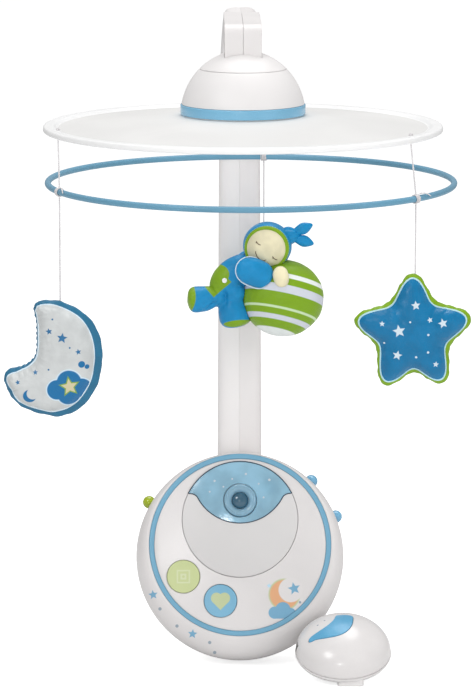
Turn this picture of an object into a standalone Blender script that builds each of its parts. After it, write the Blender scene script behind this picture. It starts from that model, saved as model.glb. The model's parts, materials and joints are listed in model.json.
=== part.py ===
"""Crib mobile with a projector panel.

A round panel with a rail clamp carries a cane-shaped post. The arm ends in a motor
dome that turns a canopy disc, and three soft toys hang from a ring under the disc.
A pebble-shaped remote control stands beside the panel.

Metres, +Z up, the front faces -Y. The origin is the middle of the clamp pad's face.
"""
import math

import bmesh
import bpy
from mathutils import Matrix, Vector

# General fits
CLEAR = 0.0003              # gap between pieces that touch
SLIDE_GAP = 0.0005          # gap round a piece that slides or turns

# Rail clamp on the back of the panel
PAD_WIDTH = 0.060
PAD_HEIGHT = 0.064
PAD_THICK = 0.004
PAD_CORNER = 0.010
STUD_RADIUS = 0.006
STUD_HEIGHT = 0.020         # stud axis above the middle of the pad
STUD_SEAT = 0.014           # depth of the stud in the housing
RAIL_GAP = 0.034            # from the pad to the jaw, as set in the photograph
JAW_OPENING = 0.012         # jaw travel away from the rail
JAW_THICK = 0.008
NUT_RADIUS = 0.024
NUT_THICK = 0.018
NUT_LOBES = 6
NUT_LOBE_DEPTH = 0.0025

# Panel: a tilted pebble of two shells
PANEL_Y = -0.062            # middle of the parting plane
PANEL_TILT = math.radians(13.0)
PANEL_RADIUS = 0.1065
FACE_HEIGHT = 0.022         # trim circle in front of the parting plane
FACE_CROWN = 0.004
FACE_SHIFT = 0.0118         # trim circle's centre above the outline's centre
TRIM_RADIUS = 0.093
TRIM_WIDTH = 0.0052
TRIM_DEPTH = 0.0015
REAR_DEPTH = 0.044
REAR_FLAT_RADIUS = 0.075
BOSS_MARGIN = 0.002
SOCKET_WALL = 0.003
SOCKET_TOP = 0.088
SOCKET_CORNER = 0.006

# Projector in the upper half of the panel
WELL_RADIUS = 0.0595
WELL_HEIGHT = 0.0378        # well centre above the outline's centre
WELL_FLOOR = 0.004
WELL_BALL_RADIUS = 0.220    # crown of the window and its cover
WELL_GAP = 0.0005
WINDOW_CORNER_X = 0.0525
WINDOW_CORNER_Y = 0.0644
WINDOW_LOW_Y = 0.0340
WINDOW_SMILE_RADIUS = 0.0488
WINDOW_SMILE_HALF = math.radians(62.0)
WINDOW_WALL = 0.003
BARREL_RADIUS = 0.0169
BARREL_LENGTH = 0.016
BARREL_HEIGHT = 0.0570
BARREL_PROUD = 0.0010
LENS_RADIUS = 0.0083
LENS_THICK = 0.004
WHEEL_RADIUS = 0.020
WHEEL_THICK = 0.0012
WHEEL_X = 0.013
WHEEL_HEIGHT = 0.0640
WHEEL_SPINDLE_RADIUS = 0.002
LAMP_RADIUS = 0.0045
LAMP_LENGTH = 0.0040

# Push buttons, slider knobs and battery door
BUTTON_RADIUS = 0.0168
BUTTON_THICK = 0.0045
BUTTON_TRAVEL = 0.0015
BUTTON_PROUD = 0.0006
GREEN_BUTTON_AT = (-0.0580, -0.0205)
BLUE_BUTTON_AT = (-0.0202, -0.0453)
KNOB_RADIUS = 0.0067
KNOB_PROUD = 0.0010         # knob centre outside the panel's edge
KNOB_DEPTH = 0.0095         # knob centre behind the parting plane
KNOB_SWING = math.radians(4.0)
KNOB_SLOT_DEPTH = 0.0080
GREEN_KNOB_ANGLE = math.radians(149.0)
BLUE_KNOB_ANGLES = (math.radians(46.3), math.radians(22.4))
DOOR_WIDTH = 0.064
DOOR_HEIGHT = 0.032
DOOR_THICK = 0.0025
DOOR_CORNER = 0.004
DOOR_LOW = -0.046           # middle of the battery door below the panel's centre

# Post, arm and neck
POST_Y = -0.022
POST_WIDTH = 0.046
POST_TOP_WIDTH = 0.041
POST_DEPTH = 0.030
POST_FOOT = 0.050
POST_ROUNDNESS = 3.4
ARM_WIDTH = 0.031
ARM_HEIGHT = 0.557          # middle of the arm
ARM_BEND = 0.072
ARM_SPIGOT = 0.030          # arm end inside the neck
NECK_WIDTH = 0.0352
NECK_FRONT = 0.0172         # neck's front face ahead of the carousel axis
NECK_LENGTH = 0.119         # neck's open end behind the carousel axis
NECK_WALL = 0.0035
NECK_DROP = 0.034           # neck foot below its top
NECK_ROUND = 0.0030

# Carousel: dome, drive, disc, ring
AXIS_Y = -0.302
DISC_DROP = 0.088           # disc's rim plane below the middle of the arm
DOME_RADIUS = 0.0594
DOME_RISE = 0.0622
DOME_CENTRE = 0.014
DOME_WALL = 0.0025
DOME_SEAM_RADIUS = 0.0413
BAND_LOW = 0.0158
BAND_HEIGHT = 0.0095
BAND_THICK = 0.0034
PLATE_THICK = 0.003
SHAFT_RADIUS = 0.004
COLLAR_RADIUS = 0.008
COLLAR_THICK = 0.0015
GEAR_MODULE = 0.0012
GEAR_TEETH = 36
PINION_TEETH = 12
GEAR_THICK = 0.006
GEAR_BACKLASH = 0.00025
PRESSURE_ANGLE = math.radians(25.0)
MOTOR_RADIUS = 0.012
MOTOR_LENGTH = 0.020
MOTOR_SHAFT_RADIUS = 0.0015
DISC_RADIUS = 0.190
DISC_THICK = 0.0025
DISC_HUB_Z = 0.0123         # underside of the disc's flat middle
DISC_HUB_RADIUS = 0.0600
LIP_WIDTH = 0.0135
LIP_HEIGHT = 0.0058
NUT_CAP_RADIUS = 0.016
NUT_CAP_LENGTH = 0.015
HOLE_INSET = 0.0100         # string holes from the disc's edge
HOLE_RADIUS = 0.0014
HOLE_ANGLES = {"moon": 195.0, "star": 329.0, "doll": 85.0}
RING_ORBIT = 0.193
RING_TUBE = 0.0030
RING_DROP = 0.0495
RING_SHIFT = 0.0076         # the ring hangs a little to the right
RING_ANGLES = {"moon": 201.3, "star": 321.1, "doll": 85.35}
STRING_RADIUS = 0.0006

# Soft toys
STAR_REACH = 0.0560         # centre to tip
STAR_VALLEY = 0.0370
STAR_HALF_THICK = 0.0170
STAR_GUSSET = 0.0090        # width of the band between the two faces
STAR_STRING = 0.0690        # knot on the ring to the star's top
STAR_AT = -0.0018           # star's middle to the right of its knot
MOON_RADIUS = 0.0550
MOON_AT = (-0.0123, -0.1565)
MOON_HOLLOW_RADIUS = 0.0276
MOON_HOLLOW_SHIFT = (-0.0330, 0.0212)
MOON_UPPER_END = math.radians(99.0)
MOON_UPPER_HOLLOW = math.radians(28.7)
MOON_UPPER_CAP = 0.0036
MOON_LOWER_END = math.radians(-139.0)
MOON_LOWER_HOLLOW = math.radians(-82.3)
MOON_LOWER_CAP = 0.0110
MOON_LOWER_INSET = 0.0114   # lower end inside the outer circle
MOON_INSET_START = 0.76     # share of the crescent where the inset begins
MOON_INSET_RUN = 0.20
MOON_HALF_THICK = 0.0155
BALL_RADIUS = 0.0380
BALL_FLATTEN = 0.80
BALL_AT = (0.0225, -0.1395)
HEAD_RADIUS = 0.0232
HEAD_AT = (0.0056, -0.0870)
HEAD_FLATTEN = 0.92
HEAD_TURN = math.radians(48.0)
LIMB_FLATTEN = 0.85         # depth of a limb as a share of its height
BODY_AT = (-0.0308, -0.1180)
BODY_TURN = math.radians(40.0)
BODY_HALF_LENGTH = 0.0270
BODY_HIP_RADIUS = 0.0190
BODY_NECK_RADIUS = 0.0150
LOWER_LEG_AT = (-0.0266, -0.1505)
LOWER_LEG_TURN = math.radians(-82.0)
LOWER_LEG_HALF_LENGTH = 0.0205
LOWER_LEG_HIP_RADIUS = 0.0130
LOWER_LEG_FOOT_RADIUS = 0.0175
RAISED_LEG_AT = (-0.0583, -0.1395)
RAISED_LEG_TURN = math.radians(194.0)
RAISED_LEG_HALF_LENGTH = 0.0195
RAISED_LEG_HIP_RADIUS = 0.0125
RAISED_LEG_FOOT_RADIUS = 0.0150
SLEEVE_AT = (-0.0091, -0.1145)
SLEEVE_OFFSET = 0.0215      # arm in front of and behind the doll's middle plane
SLEEVE_TURN = math.radians(-18.0)
SLEEVE_HALF_LENGTH = 0.0195
SLEEVE_RADIUS = 0.0145
SLEEVE_CUFF_RADIUS = 0.0140
SLEEVE_FLATTEN = 0.62
HAND_AT = (0.0129, -0.1210)
HAND_OFFSET = 0.0260
HAND_TURN = math.radians(-40.0)
HAND_HALF_LENGTH = 0.0100
HAND_RADIUS = 0.0085
HAND_TIP_RADIUS = 0.0075
UPPER_TAIL_AT = (0.0369, -0.0725)
UPPER_TAIL_TURN = math.radians(24.0)
LOWER_TAIL_AT = (0.0389, -0.0815)
LOWER_TAIL_TURN = math.radians(-22.0)
TAIL_HALF_LENGTH = 0.0140
TAIL_ROOT_RADIUS = 0.0065
TAIL_TIP_RADIUS = 0.0040
TAIL_FLATTEN = 0.70         # depth of a tail or a hand as a share of its height

# Remote control
REMOTE_AT = (0.1037, -0.1350, -0.0822)
REMOTE_FLOOR = -0.1080      # the surface that its foot stands on
REMOTE_TILT = math.radians(22.0)
REMOTE_HALF_WIDTH = 0.0484
REMOTE_HALF_DEPTH = 0.0480
REMOTE_CROWN = 0.0340
REMOTE_BELLY = 0.0120
REMOTE_BUTTON_FLOOR = 0.0150
REMOTE_BUTTON_LOW_TIP = (-0.0350, -0.0135)
REMOTE_BUTTON_HIGH_TIP = (0.0085, 0.0150)
REMOTE_BUTTON_BELLY = (0.0115, -0.0265)
REMOTE_BUTTON_HOLLOW = (-0.0100, -0.0060)
REMOTE_BUTTON_TRAVEL = 0.0010
REMOTE_BUTTON_PROUD = 0.0006
REMOTE_FOOT_WIDTH = 0.026
REMOTE_FOOT_BACK = -0.120
REMOTE_FOOT_FRONT = -0.176
REMOTE_FOOT_X = 0.110
SIGNAL_WINDOW_SIZE = 0.010
SIGNAL_WINDOW_DEPTH = 0.005

# Facets
ROUND_STEPS = 36
FINE_STEPS = 48
SIDE_STEPS = 6
MIDDLE_STEPS = 26
SMALL_STEPS = 16


def clear_scene():
    """Remove every object, so that the file holds only this model."""
    for old in list(bpy.data.objects):
        bpy.data.objects.remove(old, do_unlink=True)


def new_collection(name):
    """A collection under the scene's own."""
    group = bpy.data.collections.new(name)
    bpy.context.scene.collection.children.link(group)
    return group


clear_scene()
PARTS = new_collection("crib_mobile")
CUTTERS = new_collection("cutters")


def material(name, colour, roughness, metallic=0.0, alpha=1.0):
    """A Principled material of one colour."""
    made = bpy.data.materials.new(name)
    made.use_nodes = True
    shader = made.node_tree.nodes["Principled BSDF"]
    shader.inputs["Base Color"].default_value = (*colour, 1.0)
    shader.inputs["Roughness"].default_value = roughness
    shader.inputs["Metallic"].default_value = metallic
    shader.inputs["Alpha"].default_value = alpha
    return made


WHITE = material("white_plastic", (0.87, 0.86, 0.86), 0.35)
MATT_WHITE = material("matt_white_plastic", (0.80, 0.80, 0.81), 0.60)
GREY_WHITE = material("grey_white_plastic", (0.72, 0.72, 0.73), 0.50)
SKY_BLUE = material("sky_blue_plastic", (0.21, 0.52, 0.75), 0.35)
CLEAR_BLUE = material("clear_blue_plastic", (0.20, 0.55, 0.82), 0.12, alpha=0.6)
CLEAR_GREEN = material("clear_green_plastic", (0.55, 0.68, 0.05), 0.15, alpha=0.7)
PALE_GREEN = material("pale_green_plastic", (0.58, 0.72, 0.30), 0.45)
GLASS = material("lens_glass", (0.60, 0.70, 0.80), 0.05, alpha=0.5)
BLACK = material("black_plastic", (0.03, 0.03, 0.03), 0.40)
STEEL = material("steel", (0.62, 0.62, 0.64), 0.30, metallic=1.0)
ACETAL = material("acetal", (0.90, 0.88, 0.80), 0.45)
RUBBER = material("grey_rubber", (0.20, 0.21, 0.22), 0.80)
CORD = material("white_cord", (0.90, 0.90, 0.88), 0.80)
BLUE_CLOTH = material("blue_cloth", (0.03, 0.25, 0.65), 0.45)
GREEN_CLOTH = material("green_cloth", (0.27, 0.45, 0.04), 0.50)
CREAM_CLOTH = material("cream_cloth", (0.85, 0.78, 0.52), 0.70)
SATIN = material("white_satin", (0.72, 0.75, 0.80), 0.40)


def empty(name, place):
    """A frame for the pieces of one sub-assembly."""
    frame = bpy.data.objects.new(name, None)
    frame.matrix_world = place
    PARTS.objects.link(frame)
    return frame


PANEL_PLACE = Matrix.Translation((0.0, PANEL_Y, 0.0)) @ Matrix.Rotation(math.pi / 2 - PANEL_TILT, 4, "X")
CAROUSEL_PLACE = Matrix.Translation((0.0, AXIS_Y, ARM_HEIGHT - DISC_DROP))
REMOTE_PLACE = Matrix.Translation(REMOTE_AT) @ Matrix.Rotation(REMOTE_TILT, 4, "X")
WORLD_FRAME = empty("clamp_frame", Matrix.Identity(4))
PANEL_FRAME = empty("panel_frame", PANEL_PLACE)
CAROUSEL_FRAME = empty("carousel_frame", CAROUSEL_PLACE)
REMOTE_FRAME = empty("remote_frame", REMOTE_PLACE)


def add_object(name, mesh, look, frame, origin=(0.0, 0.0, 0.0)):
    """Link a mesh as a part of one frame, with its origin at a point of that frame."""
    shift = Vector(origin)
    mesh.transform(Matrix.Translation(-shift))
    part = bpy.data.objects.new(name, mesh)
    part.parent = frame
    part.location = shift
    mesh.materials.clear()
    mesh.materials.append(look)
    mesh.shade_smooth()
    mesh.set_sharp_from_angle(angle=math.radians(35.0))
    PARTS.objects.link(part)
    return part


def as_cutter(part):
    """Turn an object into a hidden tool for Boolean modifiers."""
    for group in list(part.users_collection):
        group.objects.unlink(part)
    CUTTERS.objects.link(part)
    part.hide_render = True
    part.display_type = "WIRE"
    return part


def boolean(part, tool, operation, solver="EXACT"):
    """Cut, join or intersect a part with another object."""
    step = part.modifiers.new(f"{operation.lower()}_{tool.name}", "BOOLEAN")
    step.operation = operation
    step.object = tool
    step.solver = solver
    return part


def cut(part, *tools):
    """Take each tool out of a part."""
    for tool in tools:
        boolean(part, as_cutter(tool), "DIFFERENCE")
    return part


def bevel(part, width, segments=2, angle=40.0):
    """Round the sharp edges of a part."""
    step = part.modifiers.new("rounded_edges", "BEVEL")
    step.width = width
    step.segments = segments
    step.limit_method = "ANGLE"
    step.angle_limit = math.radians(angle)
    return part


def baked_mesh(source):
    """The evaluated, welded mesh of an object that is then removed."""
    bpy.context.view_layer.update()
    graph = bpy.context.evaluated_depsgraph_get()
    mesh = bpy.data.meshes.new_from_object(source.evaluated_get(graph))
    bpy.data.objects.remove(source, do_unlink=True)
    work = bmesh.new()
    work.from_mesh(mesh)
    bmesh.ops.remove_doubles(work, verts=work.verts, dist=1e-6)
    bmesh.ops.recalc_face_normals(work, faces=work.faces)
    work.to_mesh(mesh)
    work.free()
    return mesh


def turned_mesh(profile, steps=ROUND_STEPS, closed=False):
    """A profile of (radius, height) points, top to bottom, turned about Z."""
    points = [(radius, 0.0, height) for radius, height in profile]
    edges = [(i, i + 1) for i in range(len(points) - 1)]
    if closed:
        edges.append((len(points) - 1, 0))
    mesh = bpy.data.meshes.new("profile")
    mesh.from_pydata(points, edges, [])
    source = bpy.data.objects.new("profile", mesh)
    PARTS.objects.link(source)
    screw = source.modifiers.new("turned", "SCREW")
    screw.steps = steps
    screw.render_steps = steps
    screw.use_merge_vertices = True
    screw.merge_threshold = 0.00001
    return baked_mesh(source)


def outline_mesh(points, low, high):
    """A flat closed outline, extruded along Z between two heights."""
    curve = bpy.data.curves.new("outline", "CURVE")
    curve.dimensions = "2D"
    curve.fill_mode = "BOTH"
    curve.extrude = (high - low) / 2
    line = curve.splines.new("POLY")
    line.points.add(len(points) - 1)
    for knot, (x, y) in zip(line.points, points):
        knot.co = (x, y, 0.0, 1.0)
    line.use_cyclic_u = True
    source = bpy.data.objects.new("outline", curve)
    PARTS.objects.link(source)
    mesh = baked_mesh(source)
    mesh.transform(Matrix.Translation((0.0, 0.0, (high + low) / 2)))
    return mesh


def loft_mesh(sections):
    """A closed body through closed sections with as many points each, end sections capped.

    A section of one point closes that end with a fan.
    """
    work = bmesh.new()
    rings = [[work.verts.new(point) for point in section] for section in sections]
    for one, two in zip(rings, rings[1:]):
        count = max(len(one), len(two))
        for i in range(count):
            j = (i + 1) % count
            corners = [one[i % len(one)], one[j % len(one)], two[j % len(two)], two[i % len(two)]]
            work.faces.new(list(dict.fromkeys(corners)))
    for ring in (rings[0], rings[-1]):
        if len(ring) > 2:
            work.faces.new(ring)
    bmesh.ops.recalc_face_normals(work, faces=work.faces)
    mesh = bpy.data.meshes.new("loft")
    work.to_mesh(mesh)
    work.free()
    return mesh


def box_mesh(size, centre):
    """A box by its size and centre."""
    work = bmesh.new()
    bmesh.ops.create_cube(work, size=1.0)
    bmesh.ops.scale(work, vec=size, verts=work.verts)
    bmesh.ops.translate(work, vec=centre, verts=work.verts)
    mesh = bpy.data.meshes.new("box")
    work.to_mesh(mesh)
    work.free()
    return mesh


def cylinder_mesh(radius, low, high, centre=(0.0, 0.0), steps=SMALL_STEPS):
    """A cylinder along Z between two heights."""
    work = bmesh.new()
    deep = high - low
    bmesh.ops.create_cone(work, cap_ends=True, segments=steps, radius1=radius, radius2=radius, depth=deep)
    bmesh.ops.translate(work, vec=(centre[0], centre[1], (high + low) / 2), verts=work.verts)
    mesh = bpy.data.meshes.new("cylinder")
    work.to_mesh(mesh)
    work.free()
    return mesh


def ball_mesh(radii, centre=(0.0, 0.0, 0.0), across=20, along=12):
    """An ellipsoid by its three radii."""
    work = bmesh.new()
    bmesh.ops.create_uvsphere(work, u_segments=across, v_segments=along, radius=1.0)
    bmesh.ops.scale(work, vec=radii, verts=work.verts)
    bmesh.ops.translate(work, vec=centre, verts=work.verts)
    mesh = bpy.data.meshes.new("ball")
    work.to_mesh(mesh)
    work.free()
    return mesh


def grown_cutter(part, distance):
    """A cutter of a part's own shape, pushed out by a distance."""
    bpy.context.view_layer.update()
    graph = bpy.context.evaluated_depsgraph_get()
    mesh = bpy.data.meshes.new_from_object(part.evaluated_get(graph))
    work = bmesh.new()
    work.from_mesh(mesh)
    work.normal_update()
    pushes = [(vert, vert.normal * distance) for vert in work.verts]
    for vert, push in pushes:
        vert.co += push
    work.to_mesh(mesh)
    work.free()
    tool = bpy.data.objects.new(f"{part.name}_space", mesh)
    tool.matrix_world = part.matrix_world
    PARTS.objects.link(tool)
    return as_cutter(tool)


def arc_points(centre, radius, start, end, count):
    """Points of an arc in a plane, both ends included."""
    angles = [start + (end - start) * i / (count - 1) for i in range(count)]
    return [(centre[0] + radius * math.cos(a), centre[1] + radius * math.sin(a)) for a in angles]


def rounded_rectangle(width, height, corner, count=5):
    """Outline of a rectangle with round corners, centred on the origin."""
    x = width / 2 - corner
    y = height / 2 - corner
    corners = ((x, y, 0.0), (-x, y, 0.5), (-x, -y, 1.0), (x, -y, 1.5))
    points = []
    for cx, cy, turn in corners:
        points += arc_points((cx, cy), corner, turn * math.pi, (turn + 0.5) * math.pi, count)
    return points


def facing_back(mesh, y=0.0, z=0.0):
    """Stand a mesh that was drawn in XY up, so that its Z axis looks along +Y."""
    mesh.transform(Matrix.Translation((0.0, y, z)) @ Matrix.Rotation(-math.pi / 2, 4, "X"))
    return mesh


def circle_section(radius, height, rise=0.0, steps=FINE_STEPS):
    """A circle across Z whose centre lies a distance up the panel's face."""
    turns = [2 * math.pi * i / steps for i in range(steps)]
    return [(radius * math.cos(a), rise + radius * math.sin(a), height) for a in turns]


def face_height(x, y):
    """Height of the panel's face over the parting plane, inside the trim circle."""
    distance = math.hypot(x, y - FACE_SHIFT)
    return FACE_HEIGHT + FACE_CROWN * (1.0 - (distance / TRIM_RADIUS) ** 2)


def face_ring_mesh(inner, outer, low, high):
    """A flat-bottomed ring round the trim circle's centre with a rounded top."""
    round_off = (outer - inner) / 4
    profile = [(inner, high - round_off), (inner + round_off, high), (outer - round_off, high)]
    profile += [(outer, high - round_off), (outer, low), (inner, low)]
    mesh = turned_mesh(profile, FINE_STEPS, closed=True)
    mesh.transform(Matrix.Translation((0.0, FACE_SHIFT, 0.0)))
    return mesh


def front_shell():
    """Front of the panel: an eccentric pebble from the outline up to the trim circle."""
    sections = []
    for i in range(SIDE_STEPS + 1):
        angle = math.pi / 2 * i / SIDE_STEPS
        spread = math.cos(angle)
        radius = TRIM_RADIUS + (PANEL_RADIUS - TRIM_RADIUS) * spread
        height = CLEAR / 2 + (FACE_HEIGHT - CLEAR / 2) * math.sin(angle)
        sections.append(circle_section(radius, height, FACE_SHIFT * (1.0 - spread)))
    for share in (0.92, 0.72, 0.40):
        radius = TRIM_RADIUS * share
        sections.append(circle_section(radius, face_height(radius, FACE_SHIFT), FACE_SHIFT))
    sections.append([(0.0, FACE_SHIFT, FACE_HEIGHT + FACE_CROWN)])
    shell = add_object("front_shell", loft_mesh(sections), WHITE, PANEL_FRAME)
    above = 2 * FACE_HEIGHT
    groove_inner = TRIM_RADIUS - TRIM_WIDTH - CLEAR
    groove = face_ring_mesh(groove_inner, TRIM_RADIUS + CLEAR, FACE_HEIGHT - TRIM_DEPTH, above)
    cut(shell, add_object("trim_groove", groove, WHITE, PANEL_FRAME))
    well = cylinder_mesh(WELL_RADIUS, WELL_FLOOR, above, (0.0, WELL_HEIGHT), FINE_STEPS)
    cut(shell, add_object("well_space", well, WHITE, PANEL_FRAME))
    for number, place in enumerate((GREEN_BUTTON_AT, BLUE_BUTTON_AT)):
        floor = face_height(*place) + BUTTON_PROUD - BUTTON_THICK - BUTTON_TRAVEL - CLEAR
        pocket = cylinder_mesh(BUTTON_RADIUS + SLIDE_GAP, floor, above, place, MIDDLE_STEPS)
        cut(shell, add_object(f"button_pocket_{number}", pocket, WHITE, PANEL_FRAME))
    return shell


def trim_ring():
    """Blue ring in its groove round the panel's face."""
    proud = FACE_HEIGHT + TRIM_DEPTH / 2
    mesh = face_ring_mesh(TRIM_RADIUS - TRIM_WIDTH, TRIM_RADIUS, FACE_HEIGHT - TRIM_DEPTH + CLEAR, proud)
    return add_object("trim_ring", mesh, SKY_BLUE, PANEL_FRAME)


def well_crown(radius):
    """Height of the projector's crown at a distance from the well's centre."""
    rim = (face_height(0.0, WELL_HEIGHT + WELL_RADIUS) + face_height(0.0, WELL_HEIGHT - WELL_RADIUS)) / 2
    edge = math.sqrt(WELL_BALL_RADIUS ** 2 - WELL_RADIUS ** 2)
    return rim + math.sqrt(WELL_BALL_RADIUS ** 2 - radius ** 2) - edge


def well_plug_mesh(radius, floor, drop=0.0, steps=FINE_STEPS):
    """The body that fills the well from a floor up to its crown, less a drop."""
    rings = [radius * i / SIDE_STEPS for i in range(SIDE_STEPS + 1)]
    profile = [(ring, well_crown(ring) - drop) for ring in rings]
    profile += [(radius, floor), (0.0, floor)]
    mesh = turned_mesh(profile, steps)
    mesh.transform(Matrix.Translation((0.0, WELL_HEIGHT, 0.0)))
    return mesh


def window_outline(gap):
    """Lens-shaped outline of the window, widened by a gap along its lower edge."""
    half = WINDOW_SMILE_HALF
    centre = (0.0, WINDOW_LOW_Y + WINDOW_SMILE_RADIUS)
    smile = arc_points(centre, WINDOW_SMILE_RADIUS + gap, -math.pi / 2 - half, -math.pi / 2 + half, 13)
    corner = (WINDOW_CORNER_X, WINDOW_CORNER_Y - gap)
    end = smile[-1]
    bend = (end[0] + (corner[1] - end[1]) / math.tan(half), corner[1])
    curl = []
    for t in (0.33, 0.67, 1.0):
        x = (1 - t) ** 2 * end[0] + 2 * t * (1 - t) * bend[0] + t * t * corner[0]
        y = (1 - t) ** 2 * end[1] + 2 * t * (1 - t) * bend[1] + t * t * corner[1]
        curl.append((x, y))
    outside = WELL_RADIUS * 1.1
    start = math.atan2(WINDOW_CORNER_Y - WELL_HEIGHT - gap, WINDOW_CORNER_X)
    top = arc_points((0.0, WELL_HEIGHT), outside, start, math.pi - start, 9)
    left_curl = [(-x, y) for x, y in reversed(curl)]
    return smile + curl + top + left_curl


def well_cover():
    """White crescent that fills the well under the window."""
    plug = well_plug_mesh(WELL_RADIUS - WELL_GAP, WELL_FLOOR + CLEAR)
    cover = add_object("well_cover", plug, GREY_WHITE, PANEL_FRAME)
    space = outline_mesh(window_outline(CLEAR), 0.0, FACE_HEIGHT * 2)
    return cut(cover, add_object("window_space", space, WHITE, PANEL_FRAME))


def projector_window():
    """Blue domed window with the hole for the focus barrel."""
    plug = well_plug_mesh(WELL_RADIUS - WELL_GAP, WELL_FLOOR + CLEAR)
    window = add_object("projector_window", plug, CLEAR_BLUE, PANEL_FRAME)
    prism = outline_mesh(window_outline(0.0), 0.0, FACE_HEIGHT * 2)
    tool = as_cutter(add_object("window_prism", prism, WHITE, PANEL_FRAME))
    boolean(window, tool, "INTERSECT")
    inside = well_plug_mesh(WELL_RADIUS + WELL_GAP, 0.0, WINDOW_WALL, FINE_STEPS - 5)
    hole = cylinder_mesh(BARREL_RADIUS + SLIDE_GAP, 0.0, FACE_HEIGHT * 2, (0.0, BARREL_HEIGHT), MIDDLE_STEPS)
    cut(window, add_object("window_inside", inside, WHITE, PANEL_FRAME))
    return cut(window, add_object("barrel_hole", hole, WHITE, PANEL_FRAME))


def barrel_front():
    """Height of the front of the focus barrel over the parting plane."""
    return well_crown(BARREL_HEIGHT - WELL_HEIGHT) + BARREL_PROUD


def focus_barrel():
    """Blue barrel that turns in the window to focus, with a bore for the lens."""
    front = barrel_front()
    back = front - BARREL_LENGTH
    bore = LENS_RADIUS + CLEAR
    soft = (BARREL_RADIUS - bore) / 4
    profile = [(bore, front - 2 * soft), (bore + soft, front - soft / 2), (BARREL_RADIUS - soft, front)]
    profile += [(BARREL_RADIUS, front - soft), (BARREL_RADIUS, back), (bore, back)]
    mesh = turned_mesh(profile, MIDDLE_STEPS, closed=True)
    mesh.transform(Matrix.Translation((0.0, BARREL_HEIGHT, 0.0)))
    return add_object("focus_barrel", mesh, CLEAR_BLUE, PANEL_FRAME, (0.0, BARREL_HEIGHT, 0.0))


def projector_lens():
    """Round lens in the barrel's bore."""
    top = barrel_front() - LENS_THICK
    edge = LENS_THICK / 4
    profile = [(0.0, top), (LENS_RADIUS / 2, top - edge / 2), (LENS_RADIUS, top - 1.5 * edge)]
    profile += [(LENS_RADIUS, top - 2.5 * edge), (LENS_RADIUS / 2, top - 3.5 * edge), (0.0, top - LENS_THICK)]
    mesh = turned_mesh(profile, SMALL_STEPS)
    mesh.transform(Matrix.Translation((0.0, BARREL_HEIGHT, 0.0)))
    return add_object("projector_lens", mesh, GLASS, PANEL_FRAME, (0.0, BARREL_HEIGHT, 0.0))


def picture_wheel():
    """Picture disc on its spindle, which stands on the well's floor behind the lens."""
    floor = WELL_FLOOR + CLEAR
    low = floor + LAMP_LENGTH + SLIDE_GAP
    top = low + WHEEL_THICK
    profile = [(0.0, top), (WHEEL_RADIUS, top), (WHEEL_RADIUS, low), (WHEEL_SPINDLE_RADIUS, low)]
    profile += [(WHEEL_SPINDLE_RADIUS, floor), (0.0, floor)]
    mesh = turned_mesh(profile, MIDDLE_STEPS)
    place = (WHEEL_X, WHEEL_HEIGHT, 0.0)
    mesh.transform(Matrix.Translation(place))
    return add_object("picture_wheel", mesh, MATT_WHITE, PANEL_FRAME, place)


def projector_lamp():
    """Lamp on the well's floor, in line with the lens."""
    floor = WELL_FLOOR + CLEAR
    mesh = cylinder_mesh(LAMP_RADIUS, floor, floor + LAMP_LENGTH, (0.0, BARREL_HEIGHT), 16)
    return add_object("projector_lamp", mesh, ACETAL, PANEL_FRAME)


def push_button(name, place, look):
    """Round button with a slight crown in its pocket."""
    top = face_height(*place) + BUTTON_PROUD
    soft = BUTTON_PROUD
    profile = [(0.0, top + soft), (BUTTON_RADIUS * 0.6, top + soft * 0.6), (BUTTON_RADIUS - soft, top)]
    profile += [(BUTTON_RADIUS, top - soft), (BUTTON_RADIUS, top - BUTTON_THICK), (0.0, top - BUTTON_THICK)]
    mesh = turned_mesh(profile, MIDDLE_STEPS)
    mesh.transform(Matrix.Translation((*place, 0.0)))
    return add_object(name, mesh, look, PANEL_FRAME, (*place, 0.0))


def slider_knob(name, angle, look):
    """Ball-shaped slider knob at the panel's edge, which swings about the panel's axis."""
    orbit = PANEL_RADIUS + KNOB_PROUD
    place = (orbit * math.cos(angle), orbit * math.sin(angle), -KNOB_DEPTH)
    mesh = ball_mesh((KNOB_RADIUS, KNOB_RADIUS, KNOB_RADIUS), place, 12, 8)
    return add_object(name, mesh, look, PANEL_FRAME)


def knob_slot(number, angle):
    """Space that a slider knob runs in."""
    floor = PANEL_RADIUS - KNOB_SLOT_DEPTH
    reach = KNOB_SLOT_DEPTH + KNOB_PROUD + 2 * KNOB_RADIUS
    run = 2 * ((PANEL_RADIUS + KNOB_PROUD) * math.sin(KNOB_SWING) + KNOB_RADIUS + SLIDE_GAP)
    size = (reach, run, 2 * (KNOB_RADIUS + SLIDE_GAP))
    mesh = box_mesh(size, (floor + reach / 2, 0.0, -KNOB_DEPTH))
    mesh.transform(Matrix.Rotation(angle, 4, "Z"))
    return add_object(f"knob_slot_{number}", mesh, WHITE, PANEL_FRAME)


def door_mesh(gap, low, high):
    """Battery door's outline with a gap, in the flat of the panel's back."""
    outline = rounded_rectangle(DOOR_WIDTH + 2 * gap, DOOR_HEIGHT + 2 * gap, DOOR_CORNER, 4)
    return outline_mesh([(x, y + DOOR_LOW) for x, y in outline], low, high)


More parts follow.
